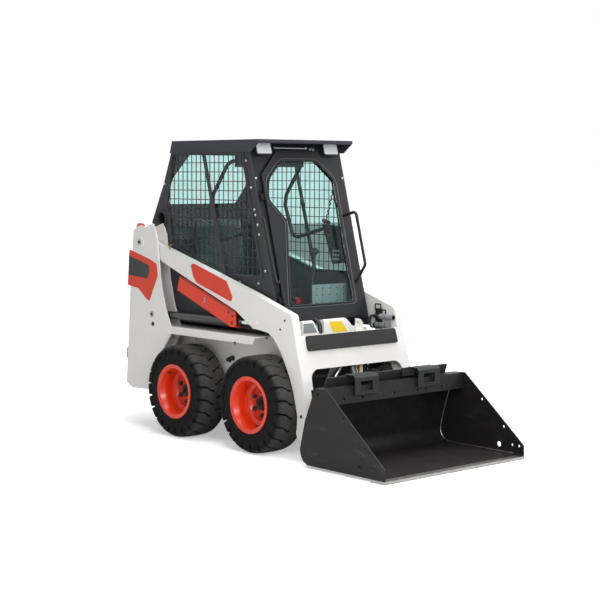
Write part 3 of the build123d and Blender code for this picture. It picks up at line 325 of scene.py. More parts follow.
# CAD nodes: finish, edge rounding
white, charcoal, black = (
    paints[name] for name in ("powderCoatWhite", "charcoalSidesPaintedLight", "chassisEnamelBlack")
)
finishes = (
    (white, ("upright_r", "upright_l", "arm_r", "arm_l", "arm_crossmember", "front_cover", "engine_cover")),
    # the sides get a lighter copy of the cab's charcoal as painted light
    (charcoal, ("cab_side_r", "cab_side_l", "side_guard_r", "side_guard_l", "cab_rear", "roof", "tailgate")),
    # the front faces get a darker copy of the cab's charcoal as painted shade
    (paints["charcoalFrontPaintedShade"], ("cab_front", "door_frame")),
    (black, ("axle_hubs", "main_frame", "engine_block", "cab_floor", "tail_hinges", "seat_bar")),
    (black, ("coupler", "coupler_levers", "aux_couplers")),
    (paints["wheelEnamelOrange"], ("rim_fr", "rim_fl", "rim_rr", "rim_rl", "arm_support")),
    (paints["cylinderEnamelBlack"], ("lift_barrel_r", "lift_barrel_l", "tilt_barrel")),
    (chromeSteel, ("lift_rod_r", "lift_rod_l", "tilt_rod")),
    (bucketCoat, ("bucket_shell",)),
    (wornSteel, ("cutting_edge",)),
    (glass, ("side_glass", "rear_glass", "door_glass")),
    (blackPlastic, ("work_lamps", "instrument_panel", "control_levers")),
    (greyPlastic, ("foot_panel",)),
    (tailLens, ("tail_lamps",)),
    (stepMat, ("step_pad",)),
    (hoseRubber, ("arm_hoses",)),
    (vinylSeat, ("seat",)),
    (rubber, ("tyre_fr", "tyre_fl", "tyre_rr", "tyre_rl")),
)
finishOf = {name: material for material, names in finishes for name in names}
edgeSettings = {"usualMm": 2.0, "segments": 2, "sharpDegrees": 32, "weldM": 0.00002}
bevelMm = {"bucket_shell": 1.5, "tail_hinges": 0.8}
bevelMm |= {
    name: 0.0
    for name in ("side_guard_r", "side_guard_l", "seat_bar", "side_glass", "rear_glass", "door_glass")
}
for nodeName, node in cad.items():
    for materialSlot in node.material_slots:
        materialSlot.material = finishOf[nodeName]
    if nodeName.startswith("tyre_"):
        continue
    width = bevelMm.get(nodeName, edgeSettings["usualMm"])
    weld = node.modifiers.new("weldSeams", "WELD")
    weld.merge_threshold = edgeSettings["weldM"]
    if width:
        bevel = node.modifiers.new("softEdges", "BEVEL")
        bevel.width = width / 1000
        bevel.segments = edgeSettings["segments"]
        bevel.limit_method = "ANGLE"
        bevel.angle_limit = radians(edgeSettings["sharpDegrees"])
    smoothNormals = node.modifiers.new("evenNormals", "WEIGHTED_NORMAL")
    smoothNormals.keep_sharp = True
print("CAD nodes finished")


# helpers for pieces that are made here
def newPiece(name, part, material, body, smoothDegrees=30):  # part: points in millimetres and faces
    mesh = bpy.data.meshes.new(name)
    mesh.from_pydata([[c / 1000 for c in point] for point in part[0]], [], part[1])
    mesh.materials.append(material)
    mesh.shade_smooth()
    mesh.set_sharp_from_angle(angle=radians(smoothDegrees))
    piece = bpy.data.objects.new(name, mesh)
    bpy.context.collection.objects.link(piece)
    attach(piece, body)
    return piece


def joinParts(parts):  # several (points, faces) as one
    points, faces = [], []
    for somePoints, someFaces in parts:
        start = len(points)
        points += somePoints
        faces += [tuple(i + start for i in face) for face in someFaces]
    return points, faces


def moved(part, matrix):  # a mirroring matrix keeps the faces outward
    points, faces = part
    turned = [tuple(matrix @ Vector(p)) for p in points]
    if matrix.determinant() < 0:
        faces = [tuple(reversed(face)) for face in faces]
    return turned, faces


def lathed(profile, steps, capped=False):  # profile of (x, radius) turned round the X axis
    count = len(profile)
    points = [
        (x, r * sin(2 * pi * k / steps), r * cos(2 * pi * k / steps))
        for k in range(steps)
        for x, r in profile
    ]
    faces = []
    for k in range(steps):
        here, there = k * count, (k + 1) % steps * count
        faces += [(here + i, here + i + 1, there + i + 1, there + i) for i in range(count - 1)]
    if capped:
        faces += [tuple(reversed([k * count + count - 1 for k in range(steps)]))]
    return points, faces


def facing(at, outward):  # turns a part built along +X to stand at a point and look outward
    return Matrix.Translation(at) @ Vector(outward).to_track_quat("X", "Z").to_matrix().to_4x4()


def scattered(part, places):  # copies of a part at (point, outward)
    return joinParts([moved(part, facing(at, outward)) for at, outward in places])


def bothSides(places):  # the places and their mirror images
    return list(places) + [((-at[0], at[1], at[2]), (-out[0], out[1], out[2])) for at, out in places]


def roundedLoop(corners, radius, steps=5):  # closed outline in a plane with its corners rounded
    loop = []
    for k, corner in enumerate(corners):
        here = Vector(corner)
        back, ahead = Vector(corners[k - 1]) - here, Vector(corners[(k + 1) % len(corners)]) - here
        reach = min(radius, back.length * 0.45, ahead.length * 0.45)
        start, end = here + back.normalized() * reach, here + ahead.normalized() * reach
        for j in range(steps + 1):
            t = j / steps
            loop.append(start * (1 - t) ** 2 + here * 2 * t * (1 - t) + end * t**2)
    return loop


def tubeAlong(name, path, radius, material, body, closed=False, smooth=False):  # path in millimetres
    curve = bpy.data.curves.new(name, "CURVE")
    curve.dimensions = "3D"
    curve.bevel_depth = radius / 1000
    curve.bevel_resolution = 3
    curve.use_fill_caps = True
    spline = curve.splines.new("NURBS" if smooth else "POLY")
    spline.points.add(len(path) - 1)
    for knot, point in zip(spline.points, path):
        knot.co = [c / 1000 for c in point] + [1.0]
    if smooth:
        spline.order_u = 3
        spline.use_endpoint_u = True
    spline.use_cyclic_u = closed
    curve.materials.append(material)
    piece = bpy.data.objects.new(name, curve)
    bpy.context.collection.objects.link(piece)
    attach(piece, body)
    return piece


def prism(outline, side, thick=0.6):  # an outline in a plane, made thick along side
    count = len(outline)
    step = Vector(side) * thick
    points = [tuple(Vector(p)) for p in outline] + [tuple(Vector(p) + step) for p in outline]
    faces = [tuple(range(count, 2 * count)), tuple(reversed(range(count)))]
    faces += [(k, (k + 1) % count, count + (k + 1) % count, count + k) for k in range(count)]
    spokes = [Vector(p) - Vector(outline[0]) for p in outline[1:]]
    normal = sum((a.cross(b) for a, b in zip(spokes, spokes[1:])), Vector())
    if normal.dot(Vector(side)) < 0:
        faces = [tuple(reversed(face)) for face in faces]
    return points, faces


def between(table, x):  # value read from a table of (x, value), straight from one row to the next
    for (xa, a), (xb, b) in zip(table, table[1:]):
        if x <= xb:
            t = min(max((x - xa) / (xb - xa), 0), 1)
            return a + (b - a) * t
    return table[-1][1]


# tyres, in millimetres about the axle, one mesh for all four
tyreSettings = {
    "lugs": 22,
    "treadRadius": 286.0,
    # lug's front edge: distance from the middle, distance round
    "lead": ((-5, -12), (22, -9), (36, -3), (50, 12), (60, 17), (95, 22), (108, 30)),
    "trail": ((-5, 58), (22, 61), (36, 68), (50, 82), (60, 87), (95, 90), (108, 84)),
    "cornerMm": 2.6,
    "draftMm": 2.5,
    "turns": 88,
    "dustLightFrom": 262,  # radius where the lug tops start to grey, partly dust and partly painted light
    "dustLightOver": 20,
    # lug's outer line and the root under it: x, radius, x, radius
    "stations": (
        (-5, 285.6, -5, 262), (8, 286, 8, 262), (20, 286, 20, 262), (32, 285.8, 32, 262),
        (42, 285.4, 42, 261), (52, 285, 52, 260), (62, 284.4, 61, 259), (74, 283, 72, 257),
        (86, 280.5, 82, 252), (96, 274.5, 88, 246), (103, 265.5, 92, 241), (106.6, 254, 95, 235),
        (106.2, 242, 97, 229), (102.6, 231, 99, 224),
    ),
    # sidewall and tread floor from the bead to the middle
    "carcass": (
        (86, 152.6), (93, 152.6), (98, 157), (100.5, 164), (101, 174), (102.6, 177), (102.6, 180),
        (101, 183), (101.3, 200), (100.8, 214), (99.5, 225), (96, 237), (90, 248), (80, 257),
        (66, 261), (40, 263.5), (0, 264),
    ),
}


def tyreShape(t):  # carcass with a ring of lugs on each side, the two rings half a step apart
    carcass = list(t["carcass"])
    shape = [lathed([(-x, r) for x, r in carcass] + [(x, r) for x, r in reversed(carcass[:-1])], t["turns"])]
    c, d = t["cornerMm"], t["draftMm"]
    rows = len(t["stations"])
    for side in (-1, 1):
        for k in range(t["lugs"]):
            phase = (k if side < 0 else k + 0.5) * 2 * pi / t["lugs"]
            points, faces = [], []
            for xOut, rOut, xRoot, rRoot in t["stations"]:
                lead, trail = between(t["lead"], xOut), between(t["trail"], xOut)
                full = c / hypot(xOut - xRoot, rOut - rRoot)
                row = [(lead - d, 1.0), (lead, full), (lead + 0.3 * c, 0.3 * full), (lead + c, 0.0)]
                row += [((lead * 2 + trail) / 3, 0.0), ((lead + trail * 2) / 3, 0.0)]
                row += [(trail - c, 0.0), (trail - 0.3 * c, 0.3 * full), (trail, full), (trail + d, 1.0)]
                for around, share in row:
                    x, r = xOut + (xRoot - xOut) * share, rOut + (rRoot - rOut) * share
                    angle = around / t["treadRadius"] + phase
                    points.append((side * x, r * sin(angle), r * cos(angle)))
            across = len(row)
            for i in range(rows - 1):
                for j in range(across - 1):
                    a = i * across + j
                    faces.append((a, a + 1, a + across + 1, a + across))
            last = (rows - 1) * across
            faces.append(tuple(reversed(range(across))))
            faces.append(tuple(range(last, last + across)))
            if side > 0:
                faces = [tuple(reversed(face)) for face in faces]
            shape.append((points, faces))
    return joinParts(shape)


wheelPlaces = {
    corner: [(a + b) * 500 for a, b in zip(*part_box("rim_" + corner))] for corner in ("fr", "fl", "rr", "rl")
}
tyre = tyreShape(tyreSettings)
dustLightFrom, dustLightOver = tyreSettings["dustLightFrom"], tyreSettings["dustLightOver"]
# lighter towards the lug tops: part dust, part painted light
treadDustAndLight = [min(max((hypot(y, z) - dustLightFrom) / dustLightOver, 0), 1) for x, y, z in tyre[0]]
for corner, centre in wheelPlaces.items():
    piece = newPiece(
        "tyreLugged_" + corner, moved(tyre, Matrix.Translation(centre)), rubber, "wheel_" + corner, 40
    )
    wear = piece.data.attributes.new("treadDustAndLight", "FLOAT", "POINT")
    wear.data.foreach_set("value", treadDustAndLight)
    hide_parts("tyre_" + corner)
print("tyres made")

# small turned parts, built along +X from their seat
hexBolt = joinParts(
    [lathed(((0, 9.5), (1.6, 9.5), (1.8, 8)), 20), lathed(((1.6, 7.2), (6.2, 7.2), (7.2, 6.2)), 6, True)]
)
domeBolt = lathed(((0, 8.5), (1.2, 8.5), (3.2, 7.4), (4.8, 5.0), (5.4, 2.0)), 18, True)
wheelNut = joinParts([
    lathed(((0, 15), (2, 15), (2.4, 12.5)), 22),
    lathed(((2, 13.2), (13, 13.2), (15, 11)), 6, True),
    lathed(((14, 6.5), (21, 6.5), (22, 5.6)), 14, True),
])
valveStem = joinParts(
    [
        lathed(((-2, 10), (3, 9.5), (5, 6)), 16),
        lathed(((4, 5), (22, 4), (22, 5.2), (32, 5.2), (33, 4)), 14, True),
    ]
)
hubCap = joinParts(
    [
        lathed(((0, 37), (3, 37), (5, 34), (5, 26), (11, 24), (12, 21)), 32, True),
        lathed(((12, 15), (22, 15), (24, 12.5)), 6, True),
    ]
)
grommet = lathed(((0, 17), (4, 17), (8, 14), (14, 12), (22, 12), (24, 10)), 20, True)
pinPlate = lathed(((0, 19), (3, 19), (4.5, 17)), 30, True)
# a thin black disc for the mouth of a hole: painted shade standing for the dark inside
holeShadeDisc = lathed(((0, 14), (0.8, 14), (0.8, 11), (0.4, 10.5)), 24, True)
toRight, toLeft, toFront = (-1, 0, 0), (1, 0, 0), (0, -1, 0)

# wheel nuts, hub caps and valves; valveTurn in degrees from straight up, towards the rear
wheelSettings = {
    "nuts": 6, "nutRing": 72, "dishFace": -3, "hubFace": 11, "valveRing": 131, "valveFace": 58,
    "valveTurn": {"fr": 204, "fl": 156, "rr": 34, "rl": -34},
}


def onWheel(centre, reach, ring, turn):  # place and outward direction on a wheel's outer face
    out = -1 if centre[0] < 0 else 1
    return (centre[0] + out * reach, centre[1] + ring * sin(turn), centre[2] + ring * cos(turn)), (out, 0, 0)


for corner, centre in wheelPlaces.items():
    w = wheelSettings
    nutPlaces = [
        onWheel(centre, w["dishFace"], w["nutRing"], k * 2 * pi / w["nuts"]) for k in range(w["nuts"])
    ]
    capPlace = onWheel(centre, w["hubFace"], 0, 0)
    valvePlace = onWheel(centre, w["valveFace"], w["valveRing"], radians(w["valveTurn"][corner]))
    body = "wheel_" + corner
    newPiece("wheelNuts_" + corner, scattered(wheelNut, nutPlaces), paints["boltZincBlack"], body)
    newPiece("hubCap_" + corner, scattered(hubCap, [capPlace]), paints["chassisEnamelBlack"], body)
    newPiece("valveStem_" + corner, scattered(valveStem, [valvePlace]), sealRubber, body)

# bolts, grommets and pins on the sides; each spot is distance along the machine, height
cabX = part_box("cab_side_r")[0][0] * 1000
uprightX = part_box("upright_r")[0][0] * 1000
sideSettings = {
    "uprightFace": -452,
    "wallFace": -305,
    "cabBolts": (
        (831, 1763), (566, 1766), (295, 1770), (939, 1557), (127, 1698), (82, 1540), (50, 1411), (41, 1380),
        (20, 1323), (7, 1265), (-50, 1054), (12, 977), (185, 976),
    ),
    "fenderBolts": ((495, 609), (122, 623), (-172, 677)),
    "grommets": ((352, 492), (322, 503)),
    "armPin": (1082, 1187),
    "cylinderPin": (956, 736),
    "uprightHole": (948, 674),
    "boltOnPin": 4,
    "airDuct": (968, 1337),
}


def sideSpots(x, spots):  # spots on a face at x, and their mirror images
    return bothSides([((x, y, z), toRight) for y, z in spots])


newPiece("cabBolts", scattered(domeBolt, sideSpots(cabX, sideSettings["cabBolts"])), zincSteel, "chassis")
fenderSpots = sideSpots(sideSettings["uprightFace"], sideSettings["fenderBolts"])
newPiece("fenderBolts", scattered(hexBolt, fenderSpots), paints["boltZincBlack"], "chassis")
grommetSpots = sideSpots(sideSettings["wallFace"], sideSettings["grommets"])
newPiece("wallGrommets", scattered(grommet, grommetSpots), sealRubber, "chassis")
pinSpots = bothSides([
    ((uprightX - 0.2, *sideSettings["armPin"]), toRight),
    ((sideSettings["uprightFace"], *sideSettings["cylinderPin"]), toRight),
])
newPiece("uprightPins", scattered(pinPlate, pinSpots), zincSteel, "chassis")
pinBolt = moved(hexBolt, Matrix.Translation((sideSettings["boltOnPin"], 0, 0)))
newPiece("uprightPinBolts", scattered(pinBolt, pinSpots), paints["boltZincBlack"], "chassis")
holeSpots = sideSpots(sideSettings["uprightFace"], [sideSettings["uprightHole"]])
newPiece("uprightHoleShades", scattered(holeShadeDisc, holeSpots), sealRubber, "chassis")
print("wheel and chassis fasteners made")

# door: the cab's front plane leans back; x across, up along the lean, out along its normal
doorSettings = {
    "foot": (0, -176, 746),
    "lean": atan2(271, 1002),
    "glassOutline": (
        (-262, 103.6), (255, 103.6), (262, 864), (140, 985.2), (-140, 985.2), (-262, 871), (-291, 745.9),
        (-176, 618.4),
    ),
    "glassCorner": 34,
    "proud": 12,
    "sealRadius": 5.5,
    "trimRadius": 3.5,
    "trimGrowth": (1.06, 1.026),  # trim's outline against the glass: across, up
    "trimDrop": 14,
    "frontBolt": (347, 880),
    "pillarBar": (
        (-352, 640, 2), (-351, 640, 15), (-349, 600, 16), (-344, 380, 16), (-339, 262, 16), (-334, 246, 16),
        (-322, 244, 16), (-316, 258, 16), (-316, 258, 2),
    ),
    "pillarBarRadius": 5,
}
frontOut = (0, -cos(doorSettings["lean"]), sin(doorSettings["lean"]))


def onDoor(x, up, out):
    lean, foot = doorSettings["lean"], doorSettings["foot"]
    return (
        foot[0] + x, foot[1] + up * sin(lean) - out * cos(lean), foot[2] + up * cos(lean) + out * sin(lean)
    )


d = doorSettings
glassLoop = roundedLoop([(x, up, 0) for x, up in d["glassOutline"]], d["glassCorner"])
sealPath = [onDoor(p.x, p.y, d["proud"] + 0.5) for p in glassLoop]
trimPath = [
    onDoor(p.x * d["trimGrowth"][0], p.y * d["trimGrowth"][1] - d["trimDrop"], d["proud"] - 1)
    for p in glassLoop
]
tubeAlong("doorSeal", sealPath, d["sealRadius"], sealRubber, "cab_door", closed=True)
tubeAlong("doorTrim", trimPath, d["trimRadius"], paints["grabBarEnamel"], "cab_door", closed=True)
frontBoltSpots = [(onDoor(side * d["frontBolt"][0], d["frontBolt"][1], 0), frontOut) for side in (-1, 1)]
newPiece("frontBolts", scattered(domeBolt, frontBoltSpots), zincSteel, "chassis")
pillarBar = [onDoor(*spot) for spot in d["pillarBar"]]
tubeAlong("pillarBar", pillarBar, d["pillarBarRadius"], blackPlastic, "chassis", smooth=True)
print("door trim made")

# work lamps: fluted lens in a black bezel, on the front plane
lampSettings = {
    "across": 268, "halfWidth": 58, "low": 1022, "high": 1090, "face": 23.4,
    "corner": 12, "lensThick": 2.5, "bezelRadius": 4,
}
for tag, side in (("_r", -1), ("_l", 1)):
    s = lampSettings
    near, far = side * s["across"] - s["halfWidth"], side * s["across"] + s["halfWidth"]
    corners = [(near, s["low"]), (far, s["low"]), (far, s["high"]), (near, s["high"])]
    loop = [onDoor(*spot) for spot in roundedLoop([(x, up, s["face"]) for x, up in corners], s["corner"])]
    newPiece("lampLens" + tag, prism(loop, frontOut, s["lensThick"]), lampLens, "chassis")
    tubeAlong("lampBezel" + tag, loop, s["bezelRadius"], blackPlastic, "chassis", closed=True)

# under the visor: a stay with its end fittings
visorSettings = {
    "stay": ((-175, 84, 1776), (60, 84, 1775)),
    "stayRadius": 5.5,
    "ends": (
        ((68, 84, 1775), toLeft), ((-175, 84, 1776), toRight), ((110, 88, 1772), frontOut),
        ((132, 88, 1770), frontOut),
    ),
}
tubeAlong("visorStay", visorSettings["stay"], visorSettings["stayRadius"], zincSteel, "chassis")
newPiece("visorStayEnds", scattered(hexBolt, visorSettings["ends"]), zincSteel, "chassis")

# air ducts in the sides of the cab: a rubber collar round a dark pipe
ductCup = lathed(((0, 60), (7, 60), (10, 56), (10, 43), (5, 37), (-20, 35), (-58, 34)), 40, True)
newPiece("airDucts", scattered(ductCup, sideSpots(cabX, [sideSettings["airDuct"]])), sealRubber, "chassis")


# inside the cab: lining, lever boots, panel, pedal
def boxLoop(low, high, radius):  # level outline with rounded corners, at the lower height
    (x, y, z), (farX, farY, _) = low, high
    return roundedLoop([(x, y, z), (farX, y, z), (farX, farY, z), (x, farY, z)], radius, 4)


def uprightPlate(low, high, y, radius, thick):  # plate facing the front, its corners given as (x, z)
    corners = [(low[0], y, low[1]), (high[0], y, low[1]), (high[0], y, high[1]), (low[0], y, high[1])]
    return prism(roundedLoop(corners, radius), (0, 1, 0), thick)


cabinSettings = {
    "panelThick": 31, "leverPlinth": 28,
    "liningLow": (-300, 130, 1662), "liningHigh": (112, 330, 1740), "liningCorner": 40,
    "leverX": 215, "leverY": 195,
    "dials": ((130, 1250), (80, 1250), (104, 1195)),
    "keyColumns": (50, 72, 94), "keyRows": (1095, 1120, 1145),
    # the grip's x is counted from the panel's face
    "grip": ((14, 150, 1318), (-30, 150, 1332), (-66, 120, 1334), (-70, 80, 1326)), "gripRadius": 12,
    "harnessTurns": 17, "harnessRadius": 4,
    "pedalLow": (-24, 834), "pedalHigh": (8, 872), "pedalY": 58, "pedalCorner": 8, "pedalThick": 16,
    "studColumns": (78, 127, 183, 240, 296), "studRows": (742, 790, 838, 886, 926), "studY": -11.2,
    "studScale": 0.55,
}
c = cabinSettings
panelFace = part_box("instrument_panel")[1][0] * 1000 - c["panelThick"]
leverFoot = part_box("control_levers")[0][2] * 1000 + c["leverPlinth"]
liningLoop = boxLoop(c["liningLow"], c["liningHigh"], c["liningCorner"])
lining = prism(liningLoop, (0, 0, 1), c["liningHigh"][2] - c["liningLow"][2])
newPiece("roofLining", lining, blackPlastic, "chassis")
bootProfile = (
    (0, 34), (10, 34), (16, 27), (22, 30), (30, 23), (36, 26), (44, 19), (50, 22), (60, 14), (84, 11)
)
bootSpots = [((side * c["leverX"], c["leverY"], leverFoot), (0, 0, 1)) for side in (-1, 1)]
newPiece("leverBoots", scattered(lathed(bootProfile, 24, True), bootSpots), sealRubber, "chassis")
dial = lathed(((0, 22), (4, 22), (6, 20), (6, 17), (2, 16)), 28, True)
keyCap = lathed(((0, 8), (3, 8), (4.5, 6.5)), 16, True)
dialSpots = [((panelFace, y, z), toRight) for y, z in c["dials"]]
newPiece("panelDials", scattered(dial, dialSpots), blackPlastic, "chassis")
keySpots = [((panelFace, y, z), toRight) for y in c["keyColumns"] for z in c["keyRows"]]
newPiece("panelKeys", scattered(keyCap, keySpots), greyPlastic, "chassis")
gripPath = [(panelFace + x, y, z) for x, y, z in c["grip"]]
tubeAlong("panelGrip", gripPath, c["gripRadius"], blackPlastic, "chassis", smooth=True)
# the harness winds to and fro as it climbs
harness = [
    (panelFace + (10 if k % 2 else 2), (165 if k % 2 else 178) - 5 * k, 1330 + 15 * k)
    for k in range(c["harnessTurns"])
]
tubeAlong("panelHarness", harness, c["harnessRadius"], sealRubber, "chassis", smooth=True)
pedal = uprightPlate(c["pedalLow"], c["pedalHigh"], c["pedalY"], c["pedalCorner"], c["pedalThick"])
newPiece("pedalRed", pedal, tailLens, "chassis")
studs = [((x, c["studY"], z), toFront) for x in c["studColumns"] for z in c["studRows"]]
stud = moved(domeBolt, Matrix.Scale(c["studScale"], 4))
newPiece("footPanelStuds", scattered(stud, studs), blackPlastic, "chassis")
print("cab details made")


# coloured films, plain shapes; outlines are distance along the machine, height
def sidePatch(name, outline, x, material, body, corner):  # the same patch on both sides
    for tag, mirror in (("_r", 1), ("_l", -1)):
        loop = roundedLoop([(x * mirror, y, z) for y, z in outline], corner, 3)
        newPiece(name + tag, prism(loop, (-mirror, 0, 0)), material, body)


filmSettings = {
    "arm": (
        (571, 1063), (562, 1071), (536, 1074), (221, 984), (164, 895), (172, 868), (195, 867), (516, 959),
        (551, 1000),
    ),
    "upright": (
        (1200, 1137), (973, 1081), (903, 1055), (892, 983), (984, 816), (1017, 829), (1105, 891), (1222, 906)
    ),
    "uprightDark": ((1205, 1097), (989, 1044), (982, 1014), (1001, 958), (1211, 972)),
    "cover": ((-85, 757), (14, 757), (66, 692), (-48, 692)),  # across, height
    "armX": -436.1, "uprightX": -452.1, "uprightDarkX": -452.9, "coverY": -300,
}
f = filmSettings
sidePatch("armFilm", f["arm"], f["armX"], orangeFilm, "lift_arm", 10)
sidePatch("uprightFilm", f["upright"], f["uprightX"], orangeFilm, "chassis", 8)
sidePatch("uprightFilmDark", f["uprightDark"], f["uprightDarkX"], darkFilm, "chassis", 8)
coverPatch = prism(roundedLoop([(x, f["coverY"], z) for x, z in f["cover"]], 5, 3), toFront)
newPiece("coverPatch", coverPatch, yellowFilm, "chassis")
print("films made")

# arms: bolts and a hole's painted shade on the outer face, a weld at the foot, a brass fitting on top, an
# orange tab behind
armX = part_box("arm_r")[0][0] * 1000
armSettings = {
    "face": -436,
    "bolts": ((-312, 787), (-273, 734)), "boltInset": 3, "boltScale": 0.7,
    "hole": (-453, 250), "holeScale": 0.75,
    "weld": ((-436, 209), (-470, 209), (-496, 206)), "weldRadius": 2,
    "fitting": ((-424, 803, 1150), (-424, 801, 1170), (-424, 797, 1176), (-424, 786, 1179)),
    "fittingRadius": 4.5,
    "nut": (-424, 801, 1162), "nutScale": 0.8,
    "tab": ((-449, 1036, 1262), (-449, 1048, 1306), (-449, 1112, 1308), (-449, 1132, 1262)),
    "tabThick": 9, "tabCorner": 18,
}
a = armSettings
armBolt = moved(hexBolt, Matrix.Scale(a["boltScale"], 4))
armBoltSpots = sideSpots(armX + a["boltInset"], a["bolts"])
newPiece("armBolts", scattered(armBolt, armBoltSpots), paints["boltZincBlack"], "lift_arm")
armHoleShade = moved(holeShadeDisc, Matrix.Scale(a["holeScale"], 4))
newPiece("armHoleShades", scattered(armHoleShade, sideSpots(a["face"], [a["hole"]])), sealRubber, "lift_arm")
for tag, side in (("_r", 1), ("_l", -1)):
    weldPath = [(side * a["face"], y, z) for y, z in a["weld"]]
    tubeAlong("armWeld" + tag, weldPath, a["weldRadius"], paints["powderCoatWhite"], "lift_arm")
tubeAlong("armFitting", a["fitting"], a["fittingRadius"], brassFitting, "lift_arm", smooth=True)
fittingNut = scattered(moved(hexBolt, Matrix.Scale(a["nutScale"], 4)), [(a["nut"], (0, 0, 1))])
newPiece("armFittingNut", fittingNut, brassFitting, "lift_arm")
tab = prism(roundedLoop(a["tab"], a["tabCorner"]), toLeft, a["tabThick"])
newPiece("uprightTab", tab, paints["wheelEnamelOrange"], "chassis")

# stowed arm support: a channel of two plates and a web, with a dark rim, a clip, and black discs in its pin
# holes as painted shade
supportSettings = {
    "outer": -446, "inner": -386, "plate": 5, "webWidth": 55, "corner": 6,
    "side": ((672, 991), (126, 806), (122, 728), (134, 716), (168, 714), (698, 903)),
    "web": ((134, 714), (320, 780), (320, 785), (134, 719)),
    "rim": ((672, 990), (126, 805), (126, 799), (672, 984)), "rimX": -446.3,
    "clip": ((412, 874), (424, 878), (432, 842), (420, 838)), "clipX": -448,
    "holes": ((191, 800), (152, 781), (160, 738)), "holeScale": 0.6,
}


def atX(x, outline):
    return [(x, y, z) for y, z in outline]


s = supportSettings
plates = [
    prism(roundedLoop(atX(x, s["side"]), s["corner"]), toLeft, s["plate"]) for x in (s["outer"], s["inner"])
]
web = prism(atX(s["outer"] + s["plate"], s["web"]), toLeft, s["webWidth"])
support = newPiece("supportChannel", joinParts([*plates, web]), paints["wheelEnamelOrange"], "lift_arm")
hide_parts("arm_support")
newPiece("supportRim", prism(atX(s["rimX"], s["rim"]), toLeft), darkFilm, "lift_arm")
clip = prism(roundedLoop(atX(s["clipX"], s["clip"]), 3, 3), toLeft, 2)
newPiece("supportClip", clip, zincSteel, "lift_arm")
supportHoleShade = moved(holeShadeDisc, Matrix.Scale(s["holeScale"], 4))
supportHoleShades = scattered(supportHoleShade, [((s["outer"], y, z), toRight) for y, z in s["holes"]])
newPiece("supportHoleShades", supportHoleShades, sealRubber, "lift_arm")
print("arm details made")

# in the opening under the crossmember: folded steel guide, tube, painted stop, supply pipe
innerY = -392  # behind the crossmember's plate
openingSettings = {
    "guide": ((-184, 440), (-150, 520), (-96, 530), (-96, 520), (-150, 462)), "guideThick": 14,
    "hanger": ((-104, 566), (-94, 566), (-94, 510), (-104, 510)), "hangerThick": 60,
    "tube": ((-118, 436), (-86, 480), (-66, 505), (-60, 566)), "tubeRadius": 13, "tubeBack": 6,
    "stop": ((4, 476), (56, 512), (56, 566), (92, 566), (92, 440), (30, 440)), "stopThick": 10,
    "stripe": ((66, 440), (88, 440), (88, 566), (66, 566)), "stripeThick": 6, "stripeProud": 11,
    "pipe": ((-356, -390, 566), (-352, -394, 500), (-320, -398, 478), (-280, -396, 492), (-268, -390, 566)),
    "pipeRadius": 9,
    "nuts": (((-352, -392, 520), (0, 0, -1)), ((-270, -392, 512), (0, 0, 1))), "nutScale": 1.6,
}


def atY(y, outline):
    return [(x, y, z) for x, z in outline]


o = openingSettings
guide = prism(atY(innerY, o["guide"]), toFront, o["guideThick"])
hanger = prism(atY(innerY - o["guideThick"], o["hanger"]), (0, 1, 0), o["hangerThick"])
newPiece("hoseGuide", joinParts([guide, hanger]), zincSteel, "lift_arm")
tubePath = atY(innerY + o["tubeBack"], o["tube"])
tubeAlong("crossTube", tubePath, o["tubeRadius"], zincSteel, "lift_arm", smooth=True)
newPiece("stopYellow", prism(atY(innerY, o["stop"]), toFront, o["stopThick"]), brassFitting, "lift_arm")
stripe = prism(atY(innerY - o["stripeProud"], o["stripe"]), toFront, o["stripeThick"])
newPiece("stopWhite", stripe, whiteFilm, "lift_arm")
tubeAlong("supplyPipe", o["pipe"], o["pipeRadius"], brassFitting, "lift_arm", smooth=True)
pipeNut = moved(hexBolt, Matrix.Scale(o["nutScale"], 4))
newPiece("supplyNuts", scattered(pipeNut, o["nuts"]), brassFitting, "lift_arm")

# behind the opening and under the door: painted front plate, a grey sheet on the cover as painted shade,
# hose, coupler sleeves
frontSettings = {
    "plate": ((-296, 190), (-200, 190), (-200, 520), (-296, 520)), "plateY": -231,
    "cover": ((-284, 700), (-176, 700), (-212, 758), (-284, 758)), "coverY": -300,
    "hose": ((-139, -284, 692), (-139, -286, 730), (-139, -262, 764), (-139, -232, 768)), "hoseRadius": 13,
    "sleeve": (
        (0, 14), (3, 17), (26, 17), (29, 14), (35, 14), (38, 17), (78, 17), (81, 14), (87, 14), (90, 18),
        (112, 18), (115, 12),
    ),
    "sleeves": ((364, -270, 760), (364, -236, 708)),
}
s = frontSettings
skin = prism(roundedLoop(atY(s["plateY"], s["plate"]), 8, 3), toFront, 2)
newPiece("frontPlateSkin", skin, paints["powderCoatWhite"], "chassis")
# a grey sheet laid on the white cover as painted shade
coverShadeSheet = prism(roundedLoop(atY(s["coverY"], s["cover"]), 4, 3), toFront)
newPiece("coverPaintedShade", coverShadeSheet, greyPlastic, "chassis")
tubeAlong("coverHose", s["hose"], s["hoseRadius"], hoseRubber, "chassis", smooth=True)
sleeve = lathed(s["sleeve"], 28, True)
sleeveSpots = [(spot, toFront) for spot in s["sleeves"]]
newPiece("auxSleeves", scattered(sleeve, sleeveSpots), greyPlastic, "lift_arm")
print("hoses and fittings made")

# bucket: weld beads down the inner corners
bucketSettings = {
    "beadX": 549,
    "beadRadius": 3.5,
    "bead": (
        (-1180, 25), (-900, 25), (-672, 26), (-640, 36), (-616, 60), (-600, 107), (-667, 317), (-690, 384)
    ),
}
for tag, side in (("_r", -1), ("_l", 1)):
    beadPath = atX(side * bucketSettings["beadX"], bucketSettings["bead"])
    tubeAlong("bucketWeld" + tag, beadPath, bucketSettings["beadRadius"], wornSteel, "bucket", smooth=True)
print("bucket details made")

